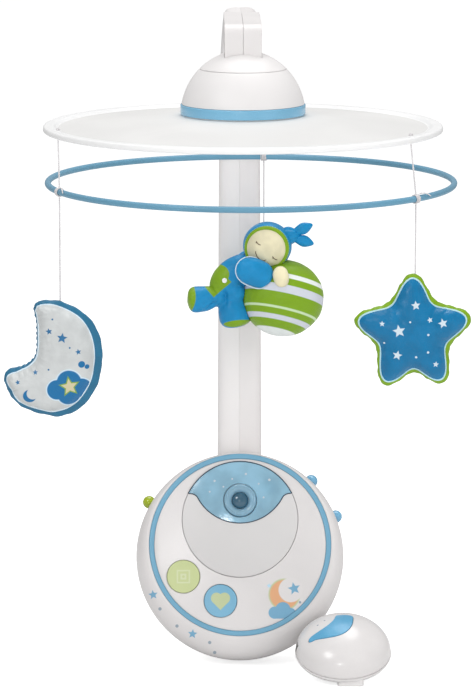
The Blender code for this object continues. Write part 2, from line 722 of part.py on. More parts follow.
def rear_shell():
    """Back of the panel: a dish with the clamp's boss and the post's socket."""
    sections = []
    for i in range(SIDE_STEPS + 1):
        angle = math.pi / 2 * i / SIDE_STEPS
        radius = REAR_FLAT_RADIUS + (PANEL_RADIUS - REAR_FLAT_RADIUS) * math.cos(angle)
        height = -CLEAR / 2 - (REAR_DEPTH - CLEAR / 2) * math.sin(angle)
        sections.append(circle_section(radius, height))
    shell = add_object("rear_shell", loft_mesh(sections), WHITE, PANEL_FRAME)
    width = PAD_WIDTH + 2 * BOSS_MARGIN
    height = PAD_HEIGHT + 2 * BOSS_MARGIN
    boss_face = -PAD_THICK - CLEAR
    boss = outline_mesh(rounded_rectangle(width, height, PAD_CORNER), PANEL_Y + REAR_DEPTH / 2, boss_face)
    boolean(shell, as_cutter(add_object("clamp_boss", facing_back(boss), WHITE, WORLD_FRAME)), "UNION")
    block = rounded_rectangle(POST_WIDTH + 2 * SOCKET_WALL, POST_DEPTH + 2 * SOCKET_WALL, SOCKET_CORNER, 4)
    block = outline_mesh([(x, y + POST_Y) for x, y in block], 0.0, SOCKET_TOP)
    boolean(shell, as_cutter(add_object("post_socket", block, WHITE, WORLD_FRAME)), "UNION")
    cut(shell, add_object("post_space", post_foot_mesh(), WHITE, WORLD_FRAME))
    bore = cylinder_mesh(STUD_RADIUS + CLEAR, boss_face - STUD_SEAT - CLEAR, 0.0)
    cut(shell, add_object("stud_bore", facing_back(bore, z=STUD_HEIGHT), WHITE, WORLD_FRAME))
    recess = door_mesh(CLEAR, -2 * REAR_DEPTH, -REAR_DEPTH + DOOR_THICK + CLEAR)
    cut(shell, add_object("door_recess", recess, WHITE, PANEL_FRAME))
    for number, angle in enumerate((GREEN_KNOB_ANGLE, *BLUE_KNOB_ANGLES)):
        cut(shell, knob_slot(number, angle))
    return shell


def battery_door():
    """Door over the batteries, flush with the panel's back."""
    mesh = door_mesh(0.0, -REAR_DEPTH, -REAR_DEPTH + DOOR_THICK)
    return add_object("battery_door", mesh, WHITE, PANEL_FRAME)


def stud_end():
    """Free end of the stud behind the pad's face."""
    return RAIL_GAP + JAW_THICK + NUT_THICK + JAW_OPENING + STUD_RADIUS


def stud_hole(name, gap):
    """Space for the stud through a piece of the clamp."""
    mesh = cylinder_mesh(STUD_RADIUS + gap, -stud_end(), stud_end())
    return add_object(name, facing_back(mesh, z=STUD_HEIGHT), WHITE, WORLD_FRAME)


def rail_clamp():
    """Pad, stud, jaw and hand nut that grip the crib's rail."""
    plate = rounded_rectangle(PAD_WIDTH, PAD_HEIGHT, PAD_CORNER)
    pad = add_object("clamp_pad", facing_back(outline_mesh(plate, -PAD_THICK, 0.0)), RUBBER, WORLD_FRAME)
    cut(pad, stud_hole("pad_hole", CLEAR))
    stud = cylinder_mesh(STUD_RADIUS, -PAD_THICK - CLEAR - STUD_SEAT, stud_end())
    bevel(add_object("clamp_stud", facing_back(stud, z=STUD_HEIGHT), WHITE, WORLD_FRAME), STUD_RADIUS / 6, 1)
    jaw_mesh = facing_back(outline_mesh(plate, RAIL_GAP, RAIL_GAP + JAW_THICK))
    jaw = add_object("clamp_jaw", jaw_mesh, WHITE, WORLD_FRAME, (0.0, RAIL_GAP, STUD_HEIGHT))
    bevel(jaw, JAW_THICK / 5, 1)
    cut(jaw, stud_hole("jaw_hole", SLIDE_GAP))
    lobes = []
    for i in range(5 * NUT_LOBES):
        angle = 2 * math.pi * i / (5 * NUT_LOBES)
        radius = NUT_RADIUS - NUT_LOBE_DEPTH * (1.0 - math.cos(NUT_LOBES * angle)) / 2
        lobes.append((radius * math.cos(angle), radius * math.sin(angle)))
    low = RAIL_GAP + JAW_THICK + CLEAR
    nut_mesh = facing_back(outline_mesh(lobes, low, low + NUT_THICK), z=STUD_HEIGHT)
    nut = add_object("clamp_nut", nut_mesh, WHITE, WORLD_FRAME, (0.0, low, STUD_HEIGHT))
    bevel(nut, NUT_THICK / 12, 1)
    cut(nut, stud_hole("nut_hole", SLIDE_GAP))


def cane_stations():
    """Path of the post and arm: (y, z, width, bend angle) from the foot to the arm's end."""
    bend_low = ARM_HEIGHT - ARM_BEND
    stations = []
    for share in (0.0, 0.35, 0.7, 1.0):
        width = POST_WIDTH + (POST_TOP_WIDTH - POST_WIDTH) * share
        stations.append((POST_Y, POST_FOOT + (bend_low - POST_FOOT) * share, width, 0.0))
    bend_steps = 7
    for i in range(1, bend_steps + 1):
        angle = math.pi / 2 * i / bend_steps
        y = POST_Y - ARM_BEND * (1.0 - math.cos(angle))
        z = bend_low + ARM_BEND * math.sin(angle)
        width = POST_TOP_WIDTH + (ARM_WIDTH - POST_TOP_WIDTH) * i / bend_steps
        stations.append((y, z, width, angle))
    stations.append((AXIS_Y + NECK_LENGTH - ARM_SPIGOT, ARM_HEIGHT, ARM_WIDTH, math.pi / 2))
    return stations


def cane_section(station, angles, side, gap):
    """Points round a station of the cane, on one side of the seam or on both."""
    y, z, width, bend = station
    half_width = width / 2 + gap
    half_depth = width * POST_DEPTH / POST_WIDTH / 2 + gap
    points = []
    for angle in angles:
        across = math.copysign(abs(math.cos(angle)) ** (2 / POST_ROUNDNESS), math.cos(angle))
        out = math.copysign(abs(math.sin(angle)) ** (2 / POST_ROUNDNESS), math.sin(angle)) * half_depth
        x = across * half_width
        if side:
            x = side * (CLEAR / 2 + abs(across) * (half_width - CLEAR / 2))
        points.append((x, y + out * math.cos(bend), z + out * math.sin(bend)))
    return points


def cane_half_mesh(side):
    """One half shell of the post and arm, left or right of the seam."""
    count = 11
    angles = [math.pi * (i / (count - 1) - 0.5) for i in range(count)]
    return loft_mesh([cane_section(station, angles, side, 0.0) for station in cane_stations()])


def full_section_angles():
    """Angles all the way round a full section of the cane."""
    count = 24
    return [2 * math.pi * i / count for i in range(count)]


def post_foot_mesh():
    """Space for the post's foot in the socket."""
    first, second = cane_stations()[:2]
    below = (first[0], first[1] - CLEAR, *first[2:])
    return loft_mesh([cane_section(station, full_section_angles(), 0, CLEAR) for station in (below, second)])


def arm_end_mesh():
    """Space for the arm's end in the neck."""
    last = cane_stations()[-1]
    inner = (last[0] - CLEAR, *last[1:])
    outer = (last[0] + 2 * ARM_SPIGOT, *last[1:])
    return loft_mesh([cane_section(station, full_section_angles(), 0, CLEAR) for station in (inner, outer)])


def arm_depth():
    """Thickness of the arm where it enters the neck."""
    return ARM_WIDTH * POST_DEPTH / POST_WIDTH


def neck_top():
    """Height of the top of the neck."""
    return ARM_HEIGHT + arm_depth() / 2 + NECK_WALL


def neck_mesh():
    """Full neck: a sleeve over the arm's end with a foot into the dome."""
    top = neck_top()
    sleeve_low = top - arm_depth() - 2 * NECK_WALL
    front = AXIS_Y - NECK_FRONT
    soft = NECK_FRONT / 2
    outline = arc_points((front + soft, top - soft), soft, math.pi, math.pi / 2, 5)
    outline += [(AXIS_Y + NECK_LENGTH, top), (AXIS_Y + NECK_LENGTH, sleeve_low)]
    outline += [(AXIS_Y + NECK_FRONT, sleeve_low), (AXIS_Y + NECK_FRONT, top - NECK_DROP)]
    outline += [(front, top - NECK_DROP)]
    mesh = outline_mesh(outline, -NECK_WIDTH / 2, NECK_WIDTH / 2)
    mesh.transform(Matrix(((0, 0, 1, 0), (1, 0, 0, 0), (0, 1, 0, 0), (0, 0, 0, 1))))
    return mesh


def post_and_neck():
    """Half shells of the cane and of the neck, which meet at the seam."""
    for name, side in (("left", -1), ("right", 1)):
        add_object(f"post_{name}_shell", cane_half_mesh(side), WHITE, WORLD_FRAME)
        half = add_object(f"neck_{name}_shell", neck_mesh(), WHITE, WORLD_FRAME)
        bevel(half, NECK_ROUND, 3, 50.0)
        middle = AXIS_Y + NECK_LENGTH / 2
        space = box_mesh((NECK_WIDTH, 2 * NECK_LENGTH, 4 * NECK_DROP),
                         (side * (NECK_WIDTH / 2 + CLEAR / 2), middle, ARM_HEIGHT))
        boolean(half, as_cutter(add_object(f"neck_{name}_side", space, WHITE, WORLD_FRAME)), "INTERSECT")
        space = as_cutter(add_object(f"arm_space_{name}", arm_end_mesh(), WHITE, WORLD_FRAME))
        boolean(half, space, "DIFFERENCE", "MANIFOLD")


def dome_point(angle, inset=0.0):
    """Point of the dome's section at an angle from the axis, inset by a wall."""
    radius = (DOME_RADIUS - inset) * math.sin(angle)
    height = DOME_CENTRE + (DOME_RISE - inset) * math.cos(angle)
    return (radius, height)


def dome_arc(start, end, count, inset=0.0):
    """Points of the dome's section between two angles."""
    return [dome_point(start + (end - start) * i / (count - 1), inset) for i in range(count)]


def dome_angle_at(height, inset=0.0):
    """Angle from the axis at which the dome has a height."""
    return math.acos((height - DOME_CENTRE) / (DOME_RISE - inset))


def seam_height():
    """Height of the parting line between the dome's cap and shell."""
    return dome_point(math.asin(DOME_SEAM_RADIUS / DOME_RADIUS))[1]


def dome_foot_radius():
    """Outside of the dome's foot, behind the band."""
    return DOME_RADIUS - BAND_THICK - CLEAR


def dome_cap():
    """Upper cap of the dome with the hole for the neck's foot."""
    top = math.asin(NECK_FRONT / 2 / DOME_RADIUS)
    low = seam_height() + CLEAR / 2
    profile = dome_arc(top, dome_angle_at(low), 5)
    profile += dome_arc(dome_angle_at(low, DOME_WALL), top, 3, DOME_WALL)
    cap = add_object("dome_cap", turned_mesh(profile, closed=True), WHITE, CAROUSEL_FRAME)
    size = (NECK_WIDTH + 2 * CLEAR, 2 * (NECK_FRONT + CLEAR), 4 * NECK_DROP)
    hole = box_mesh(size, (0.0, AXIS_Y, neck_top()))
    return cut(cap, add_object("neck_hole", hole, WHITE, WORLD_FRAME))


def dome_shell():
    """Lower shell of the dome, stepped in behind the band."""
    high = seam_height() - CLEAR / 2
    band_top = BAND_LOW + BAND_HEIGHT + CLEAR
    foot = dome_foot_radius()
    inside = foot - DOME_WALL
    inner_start = dome_angle_at(band_top + DOME_WALL, DOME_WALL)
    profile = dome_arc(dome_angle_at(high), dome_angle_at(band_top), 6)
    profile += [(foot, band_top), (foot, BAND_LOW), (inside, BAND_LOW), (inside, band_top)]
    profile += dome_arc(inner_start, dome_angle_at(high, DOME_WALL), 3, DOME_WALL)
    return add_object("dome_shell", turned_mesh(profile, closed=True), WHITE, CAROUSEL_FRAME)


def dome_band():
    """Blue band round the dome's foot."""
    inner = dome_foot_radius() + CLEAR
    outer = inner + BAND_THICK
    top = BAND_LOW + BAND_HEIGHT
    soft = BAND_THICK / 4
    profile = [(inner, top), (outer - soft, top), (outer, top - soft), (outer, BAND_LOW + soft)]
    profile += [(outer - soft, BAND_LOW), (inner, BAND_LOW)]
    return add_object("dome_band", turned_mesh(profile, closed=True), CLEAR_BLUE, CAROUSEL_FRAME)


def plate_low():
    """Underside of the gear plate over the disc's rim plane."""
    return BAND_LOW + DOME_WALL / 2


def plate_top():
    """Top of the gear plate over the disc's rim plane."""
    return plate_low() + PLATE_THICK


def motor_offset():
    """Distance from the carousel's axis to the motor's."""
    return GEAR_MODULE * (GEAR_TEETH + PINION_TEETH) / 2


def gears_low():
    """Underside of the gears over the disc's rim plane."""
    return plate_top() + CLEAR + MOTOR_LENGTH + SLIDE_GAP


def gear_outline(teeth, phase):
    """Involute outline of a spur gear with its first tooth at a phase angle."""
    pitch = GEAR_MODULE * teeth / 2
    base = pitch * math.cos(PRESSURE_ANGLE)
    tip = pitch + 0.92 * GEAR_MODULE
    root = pitch - 1.2 * GEAR_MODULE
    involute = math.tan(PRESSURE_ANGLE) - PRESSURE_ANGLE
    half_tooth = math.pi / (2 * teeth) - GEAR_BACKLASH / (4 * pitch)
    flank = []
    for radius in (max(base, root), pitch, tip):
        roll = math.acos(min(1.0, base / radius))
        flank.append((radius, half_tooth + involute - (math.tan(roll) - roll)))
    if root < base:
        flank.insert(0, (root, flank[0][1]))
    points = []
    for number in range(teeth):
        middle = phase + 2 * math.pi * number / teeth
        tooth = [(radius, middle - half) for radius, half in flank]
        tooth += [(radius, middle + half) for radius, half in reversed(flank)]
        points += [(radius * math.cos(angle), radius * math.sin(angle)) for radius, angle in tooth]
    return points


def drive_train():
    """Gear plate, motor, pinion, output gear and shaft inside the dome."""
    plate_radius = dome_foot_radius() - DOME_WALL - CLEAR
    plate = cylinder_mesh(plate_radius, plate_low(), plate_top(), steps=MIDDLE_STEPS)
    plate = add_object("gear_plate", plate, ACETAL, CAROUSEL_FRAME)
    shaft_space = cylinder_mesh(SHAFT_RADIUS + CLEAR, 0.0, 2 * plate_top())
    cut(plate, add_object("plate_hole", shaft_space, WHITE, CAROUSEL_FRAME))
    low = gears_low()
    high = low + GEAR_THICK
    offset = motor_offset()
    motor_low = plate_top() + CLEAR
    motor = cylinder_mesh(MOTOR_RADIUS, motor_low, motor_low + MOTOR_LENGTH, (0.0, offset))
    motor = add_object("drive_motor", motor, STEEL, CAROUSEL_FRAME)
    motor_bore = cylinder_mesh(MOTOR_SHAFT_RADIUS + CLEAR, low - MOTOR_LENGTH / 2, high, (0.0, offset), 12)
    cut(motor, add_object("motor_bore", motor_bore, WHITE, CAROUSEL_FRAME))
    tooth_angle = math.pi / PINION_TEETH
    pinion = outline_mesh(gear_outline(PINION_TEETH, tooth_angle - math.pi / 2), low, high)
    pinion.transform(Matrix.Translation((0.0, offset, 0.0)))
    pinion = add_object("motor_pinion", pinion, ACETAL, CAROUSEL_FRAME, (0.0, offset, 0.0))
    stem_low = low - MOTOR_LENGTH / 2 + CLEAR
    stem = cylinder_mesh(MOTOR_SHAFT_RADIUS, stem_low, low + GEAR_THICK / 2, (0.0, offset), 12)
    boolean(pinion, as_cutter(add_object("pinion_stem", stem, STEEL, CAROUSEL_FRAME)), "UNION")
    gear = outline_mesh(gear_outline(GEAR_TEETH, math.pi / 2), low, high)
    gear = add_object("output_gear", gear, ACETAL, CAROUSEL_FRAME)
    gear_space = cylinder_mesh(SHAFT_RADIUS + CLEAR, 0.0, 2 * high)
    cut(gear, add_object("gear_bore", gear_space, WHITE, CAROUSEL_FRAME))
    drive_shaft(high + COLLAR_THICK)


def disc_top():
    """Top of the disc's flat middle over its rim plane."""
    return DISC_HUB_Z + DISC_THICK


def shaft_end():
    """Lower end of the shaft, inside the hub nut."""
    return DISC_HUB_Z - NUT_CAP_LENGTH * 0.7


def drive_shaft(top):
    """Shaft with a collar on the gear plate and a shoulder on the disc."""
    collar_low = plate_top() + CLEAR
    shoulder_top = plate_low() - CLEAR
    shoulder_low = disc_top() + CLEAR
    profile = [(0.0, top), (SHAFT_RADIUS, top), (SHAFT_RADIUS, collar_low + COLLAR_THICK)]
    profile += [(COLLAR_RADIUS, collar_low + COLLAR_THICK), (COLLAR_RADIUS, collar_low)]
    profile += [(SHAFT_RADIUS, collar_low), (SHAFT_RADIUS, shoulder_top), (COLLAR_RADIUS, shoulder_top)]
    profile += [(COLLAR_RADIUS, shoulder_low), (SHAFT_RADIUS, shoulder_low), (SHAFT_RADIUS, shaft_end())]
    profile += [(0.0, shaft_end())]
    return add_object("drive_shaft", turned_mesh(profile, SMALL_STEPS), STEEL, CAROUSEL_FRAME)


def canopy_disc():
    """Shallow conical disc with a rolled lip and three string holes."""
    hole = SHAFT_RADIUS + CLEAR
    lip = DISC_RADIUS - LIP_WIDTH
    foot = DISC_THICK / 5
    soft = LIP_WIDTH / 4
    profile = [(hole, disc_top()), (DISC_HUB_RADIUS, disc_top()), (lip, DISC_THICK + foot)]
    profile += [(lip + soft / 2, LIP_HEIGHT - soft / 3), (lip + soft * 1.5, LIP_HEIGHT)]
    profile += [(DISC_RADIUS - soft, LIP_HEIGHT), (DISC_RADIUS, LIP_HEIGHT - soft * 0.7)]
    profile += [(DISC_RADIUS, soft * 0.6), (DISC_RADIUS - soft * 0.6, 0.0), (lip + soft, 0.0)]
    profile += [(lip - soft, foot), (DISC_HUB_RADIUS, DISC_HUB_Z), (hole, DISC_HUB_Z)]
    turned = turned_mesh(profile, FINE_STEPS, closed=True)
    disc = add_object("canopy_disc", turned, MATT_WHITE, CAROUSEL_FRAME)
    for name, angle in HOLE_ANGLES.items():
        turn = math.radians(angle)
        centre = ((DISC_RADIUS - HOLE_INSET) * math.cos(turn), (DISC_RADIUS - HOLE_INSET) * math.sin(turn))
        space = cylinder_mesh(HOLE_RADIUS, -LIP_HEIGHT, 2 * LIP_HEIGHT, centre, 8)
        cut(disc, add_object(f"{name}_string_hole", space, WHITE, CAROUSEL_FRAME))
    return disc


def hub_nut():
    """Domed nut that holds the disc on the shaft."""
    top = DISC_HUB_Z - CLEAR
    low = top - NUT_CAP_LENGTH
    bore = SHAFT_RADIUS + CLEAR
    bore_low = shaft_end() - CLEAR
    profile = [(0.0, bore_low), (bore, bore_low), (bore, top), (NUT_CAP_RADIUS, top)]
    profile += [(NUT_CAP_RADIUS, top - NUT_CAP_LENGTH * 0.6), (NUT_CAP_RADIUS * 0.75, low), (0.0, low)]
    return add_object("hub_nut", turned_mesh(profile, SMALL_STEPS), WHITE, CAROUSEL_FRAME)


def ring_point(toy):
    """World x and y of the knot on the ring that carries a toy."""
    turn = math.radians(RING_ANGLES[toy])
    x = RING_SHIFT + RING_ORBIT * math.cos(turn)
    y = AXIS_Y + RING_ORBIT * math.sin(turn)
    return x, y


def hanging_place(toy, place):
    """World x and z of a point that is given from a toy's knot."""
    x, _ = ring_point(toy)
    return x + place[0], ARM_HEIGHT - DISC_DROP - RING_DROP + place[1]


def hanging_ring():
    """Blue tube ring under the disc."""
    bpy.ops.mesh.primitive_torus_add(major_radius=RING_ORBIT, minor_radius=RING_TUBE,
                                     major_segments=FINE_STEPS, minor_segments=8)
    made = bpy.context.active_object
    mesh = made.data.copy()
    bpy.data.objects.remove(made, do_unlink=True)
    mesh.transform(Matrix.Translation((RING_SHIFT, 0.0, -RING_DROP)))
    return add_object("hanging_ring", mesh, SKY_BLUE, CAROUSEL_FRAME)


def string(name, start, end):
    """A thin straight cord between two points."""
    curve = bpy.data.curves.new(name, "CURVE")
    curve.dimensions = "3D"
    curve.bevel_depth = STRING_RADIUS
    curve.bevel_resolution = 2
    curve.use_fill_caps = True
    line = curve.splines.new("POLY")
    count = 4
    line.points.add(count - 1)
    for i, knot in enumerate(line.points):
        place = Vector(start).lerp(Vector(end), i / (count - 1))
        knot.co = (*place, 1.0)
    source = bpy.data.objects.new(name, curve)
    PARTS.objects.link(source)
    return add_object(name, baked_mesh(source), CORD, WORLD_FRAME)


def toy_strings(toy, toy_top):
    """Upper string from the disc to the ring and lower string on to a toy."""
    turn = math.radians(HOLE_ANGLES[toy])
    orbit = DISC_RADIUS - HOLE_INSET
    hole = (orbit * math.cos(turn), AXIS_Y + orbit * math.sin(turn), ARM_HEIGHT - DISC_DROP - CLEAR)
    x, y = ring_point(toy)
    reach = RING_TUBE + CLEAR
    middle = ARM_HEIGHT - DISC_DROP - RING_DROP
    string(f"{toy}_upper_string", hole, (x, y, middle + reach))
    string(f"{toy}_lower_string", (x, y, middle - reach), (x, y, toy_top + CLEAR))


def star_toy():
    """Puffy five-pointed star cushion."""
    x, y = ring_point("star")
    _, top = hanging_place("star", (0.0, -STAR_STRING))
    centre = Vector((x + STAR_AT, y, top - STAR_REACH))
    count = 40
    sections = []
    crown = STAR_HALF_THICK - STAR_GUSSET / 2
    shares = (0.35, 0.65, 0.87, 1.0)
    levels = [(share, STAR_GUSSET / 2 + crown * (1.0 - share ** 2.4) ** 0.7) for share in shares]
    rings = [(share, -depth) for share, depth in levels]
    rings += [(share, depth) for share, depth in reversed(levels)]
    for share, depth in rings:
        ring = []
        for i in range(count):
            angle = 2 * math.pi * i / count
            point = (0.5 + 0.5 * math.cos(5 * angle)) ** 1.2
            reach = (STAR_VALLEY + (STAR_REACH - STAR_VALLEY) * point) * share
            ring.append(centre + Vector((reach * math.sin(angle), depth, reach * math.cos(angle))))
        sections.append(ring)
    sections.insert(0, [centre - Vector((0.0, STAR_HALF_THICK, 0.0))])
    sections.append([centre + Vector((0.0, STAR_HALF_THICK, 0.0))])
    add_object("star_toy", loft_mesh(sections), BLUE_CLOTH, WORLD_FRAME, (x, y, top))
    toy_strings("star", top)


def moon_toy():
    """Puffy crescent cushion with blunt ends: oval sections between its outer and its hollow edge."""
    x, y = ring_point("moon")
    cx, cz = hanging_place("moon", MOON_AT)
    centre = Vector((cx, y, cz))
    hollow = Vector((MOON_HOLLOW_SHIFT[0], 0.0, MOON_HOLLOW_SHIFT[1]))
    count = 18
    spans = []
    for i in range(count + 1):
        share = i / count
        outer = MOON_UPPER_END + (MOON_LOWER_END - MOON_UPPER_END) * share
        inner = MOON_UPPER_HOLLOW + (MOON_LOWER_HOLLOW - MOON_UPPER_HOLLOW) * share
        run = min(1.0, max(0.0, (share - MOON_INSET_START) / MOON_INSET_RUN))
        radius = MOON_RADIUS - MOON_LOWER_INSET * run * run * (3.0 - 2.0 * run)
        one = radius * Vector((math.cos(outer), 0.0, math.sin(outer)))
        two = hollow + MOON_HOLLOW_RADIUS * Vector((math.cos(inner), 0.0, math.sin(inner)))
        spans.append(((one + two) / 2, (one - two) / 2))
    upper = blunt_end(spans[0], MOON_UPPER_CAP, 1.0)
    lower = blunt_end(spans[-1], MOON_LOWER_CAP, -1.0)
    sections = [[centre + point for point in cushion_section(*span)] for span in upper[::-1] + spans + lower]
    top = cz + math.sqrt(MOON_RADIUS ** 2 - (x - cx) ** 2)
    add_object("moon_toy", loft_mesh(sections), SATIN, WORLD_FRAME, (x, y, top))
    toy_strings("moon", top)


def blunt_end(span, cap, side):
    """Spans that round off an end of the crescent, the last one a point."""
    middle, half = span
    away = Vector((-half.z, 0.0, half.x)).normalized() * side
    spans = []
    for angle in (math.radians(35.0), math.radians(65.0), math.pi / 2):
        spans.append((middle + away * cap * math.sin(angle), half * math.cos(angle)))
    spans[-1] = (spans[-1][0], Vector())
    return spans


def cushion_section(middle, half):
    """Oval section of the crescent across one span, or a point where the span has no width."""
    if half.length == 0.0:
        return [middle]
    across = 14
    thick = MOON_HALF_THICK * min(1.0, (half.length / MOON_HALF_THICK) ** 0.7)
    ring = []
    for j in range(across):
        turn = 2 * math.pi * j / across
        out = math.copysign(abs(math.cos(turn)) ** 0.8, math.cos(turn))
        deep = math.copysign(abs(math.sin(turn)) ** 0.8, math.sin(turn))
        ring.append(middle + half * out + Vector((0.0, thick * deep, 0.0)))
    return ring


def soft_limb(name, place, depth, angle, half_length, radii, look, flatten=LIMB_FLATTEN, detail=(12, 8)):
    """A stuffed form of the doll that tapers from one end to the other, at an angle in the XZ plane."""
    x, z = hanging_place("doll", place)
    first, last = radii
    work = bmesh.new()
    bmesh.ops.create_uvsphere(work, u_segments=detail[0], v_segments=detail[1], radius=1.0)
    for vert in work.verts:
        along = vert.co.z
        radius = first + (last - first) * (along + 1.0) / 2
        swell = Vector((vert.co.x * radius, vert.co.y * radius * flatten, along * half_length))
        vert.co = swell
    turn = Matrix.Rotation(math.pi / 2 - angle, 4, "Y")
    bmesh.ops.transform(work, matrix=Matrix.Translation((x, depth, z)) @ turn, verts=work.verts)
    mesh = bpy.data.meshes.new(name)
    work.to_mesh(mesh)
    work.free()
    return add_object(name, mesh, look, WORLD_FRAME)


def seat_on(part, *larger):
    """Cut a soft form by the larger ones that it lies against."""
    for other in larger:
        boolean(part, grown_cutter(other, CLEAR), "DIFFERENCE")
    return part


def doll_toy():
    """Sleeping doll in a hooded suit that hugs a striped ball."""
    _, y = ring_point("doll")
    radii = (BALL_RADIUS, BALL_RADIUS * BALL_FLATTEN, BALL_RADIUS)
    ball_x, ball_z = hanging_place("doll", BALL_AT)
    ball = ball_mesh(radii, (ball_x, y, ball_z), 20, 12)
    ball = add_object("play_ball", ball, GREEN_CLOTH, WORLD_FRAME)
    head = soft_limb("doll_head", HEAD_AT, y, HEAD_TURN, HEAD_RADIUS, (HEAD_RADIUS, HEAD_RADIUS),
                     CREAM_CLOTH, HEAD_FLATTEN, (16, 10))
    seat_on(head, ball)
    body = soft_limb("doll_body", BODY_AT, y, BODY_TURN, BODY_HALF_LENGTH,
                     (BODY_HIP_RADIUS, BODY_NECK_RADIUS), BLUE_CLOTH)
    seat_on(body, ball, head)
    lower = soft_limb("doll_lower_leg", LOWER_LEG_AT, y, LOWER_LEG_TURN, LOWER_LEG_HALF_LENGTH,
                      (LOWER_LEG_HIP_RADIUS, LOWER_LEG_FOOT_RADIUS), BLUE_CLOTH)
    seat_on(lower, ball, body)
    raised = soft_limb("doll_raised_leg", RAISED_LEG_AT, y, RAISED_LEG_TURN, RAISED_LEG_HALF_LENGTH,
                       (RAISED_LEG_HIP_RADIUS, RAISED_LEG_FOOT_RADIUS), BLUE_CLOTH)
    seat_on(raised, body, lower)
    for name, side in (("front", -1), ("back", 1)):
        depth = y + side * SLEEVE_OFFSET
        arm = soft_limb(f"doll_{name}_arm", SLEEVE_AT, depth, SLEEVE_TURN, SLEEVE_HALF_LENGTH,
                        (SLEEVE_RADIUS, SLEEVE_CUFF_RADIUS), BLUE_CLOTH, SLEEVE_FLATTEN)
        seat_on(arm, ball, body, head)
        hand = soft_limb(f"doll_{name}_hand", HAND_AT, y + side * HAND_OFFSET, HAND_TURN, HAND_HALF_LENGTH,
                         (HAND_RADIUS, HAND_TIP_RADIUS), CREAM_CLOTH, TAIL_FLATTEN, (10, 6))
        seat_on(hand, ball, head, arm)
    tail_radii = (TAIL_ROOT_RADIUS, TAIL_TIP_RADIUS)
    upper_tail = soft_limb("hood_upper_tail", UPPER_TAIL_AT, y, UPPER_TAIL_TURN, TAIL_HALF_LENGTH, tail_radii,
                           BLUE_CLOTH, TAIL_FLATTEN, (10, 6))
    seat_on(upper_tail, head)
    lower_tail = soft_limb("hood_lower_tail", LOWER_TAIL_AT, y, LOWER_TAIL_TURN, TAIL_HALF_LENGTH, tail_radii,
                           BLUE_CLOTH, TAIL_FLATTEN, (10, 6))
    seat_on(lower_tail, head, upper_tail)
    _, head_z = hanging_place("doll", HEAD_AT)
    toy_strings("doll", head_z + math.sqrt(HEAD_RADIUS ** 2 - HEAD_AT[0] ** 2))


def pebble_section(share, height):
    """An oval of the remote at a share of its full outline."""
    turns = [2 * math.pi * i / ROUND_STEPS for i in range(ROUND_STEPS)]
    width = REMOTE_HALF_WIDTH * share
    depth = REMOTE_HALF_DEPTH * share
    return [(width * math.cos(a), depth * math.sin(a), height) for a in turns]


def pebble_mesh(rise, grow=0.0):
    """Half of the remote's pebble, from the parting plane to a rise or a fall."""
    side = math.copysign(1.0, rise)
    sections = []
    steps = 5
    for i in range(steps):
        angle = math.pi / 2 * i / steps
        height = side * CLEAR / 2 + (rise + side * (grow - CLEAR / 2)) * math.sin(angle)
        sections.append(pebble_section(math.cos(angle) + grow / REMOTE_HALF_WIDTH, height))
    sections.append([(0.0, 0.0, rise + side * grow)])
    return loft_mesh(sections)


def bezier_points(start, middle, end, count):
    """Points of a quadratic curve, without its last one."""
    points = []
    for i in range(count):
        t = i / count
        one, two, three = (1 - t) ** 2, 2 * t * (1 - t), t * t
        points.append((one * start[0] + two * middle[0] + three * end[0],
                       one * start[1] + two * middle[1] + three * end[1]))
    return points


def offset_outline(points, gap):
    """A counter-clockwise outline moved outwards by a gap."""
    moved = []
    for i, (x, y) in enumerate(points):
        before = Vector((x, y)) - Vector(points[i - 1])
        after = Vector(points[(i + 1) % len(points)]) - Vector((x, y))
        first = Vector((before.y, -before.x)).normalized()
        second = Vector((after.y, -after.x)).normalized()
        push = (first + second) / max(0.25, 1.0 + first.dot(second))
        moved.append((x + push.x * gap, y + push.y * gap))
    return moved


def remote_button_outline():
    """Crescent outline of the remote's button."""
    edge = bezier_points(REMOTE_BUTTON_LOW_TIP, REMOTE_BUTTON_BELLY, REMOTE_BUTTON_HIGH_TIP, 10)
    return edge + bezier_points(REMOTE_BUTTON_HIGH_TIP, REMOTE_BUTTON_HOLLOW, REMOTE_BUTTON_LOW_TIP, 8)


def signal_window_mesh(gap):
    """Block of the signal window in the left end of the remote."""
    size = SIGNAL_WINDOW_SIZE + 2 * gap
    depth = SIGNAL_WINDOW_DEPTH + gap
    centre = (-REMOTE_HALF_WIDTH, 0.0, SIGNAL_WINDOW_SIZE / 2 + 2 * CLEAR)
    return box_mesh((2 * depth, size, size), centre)


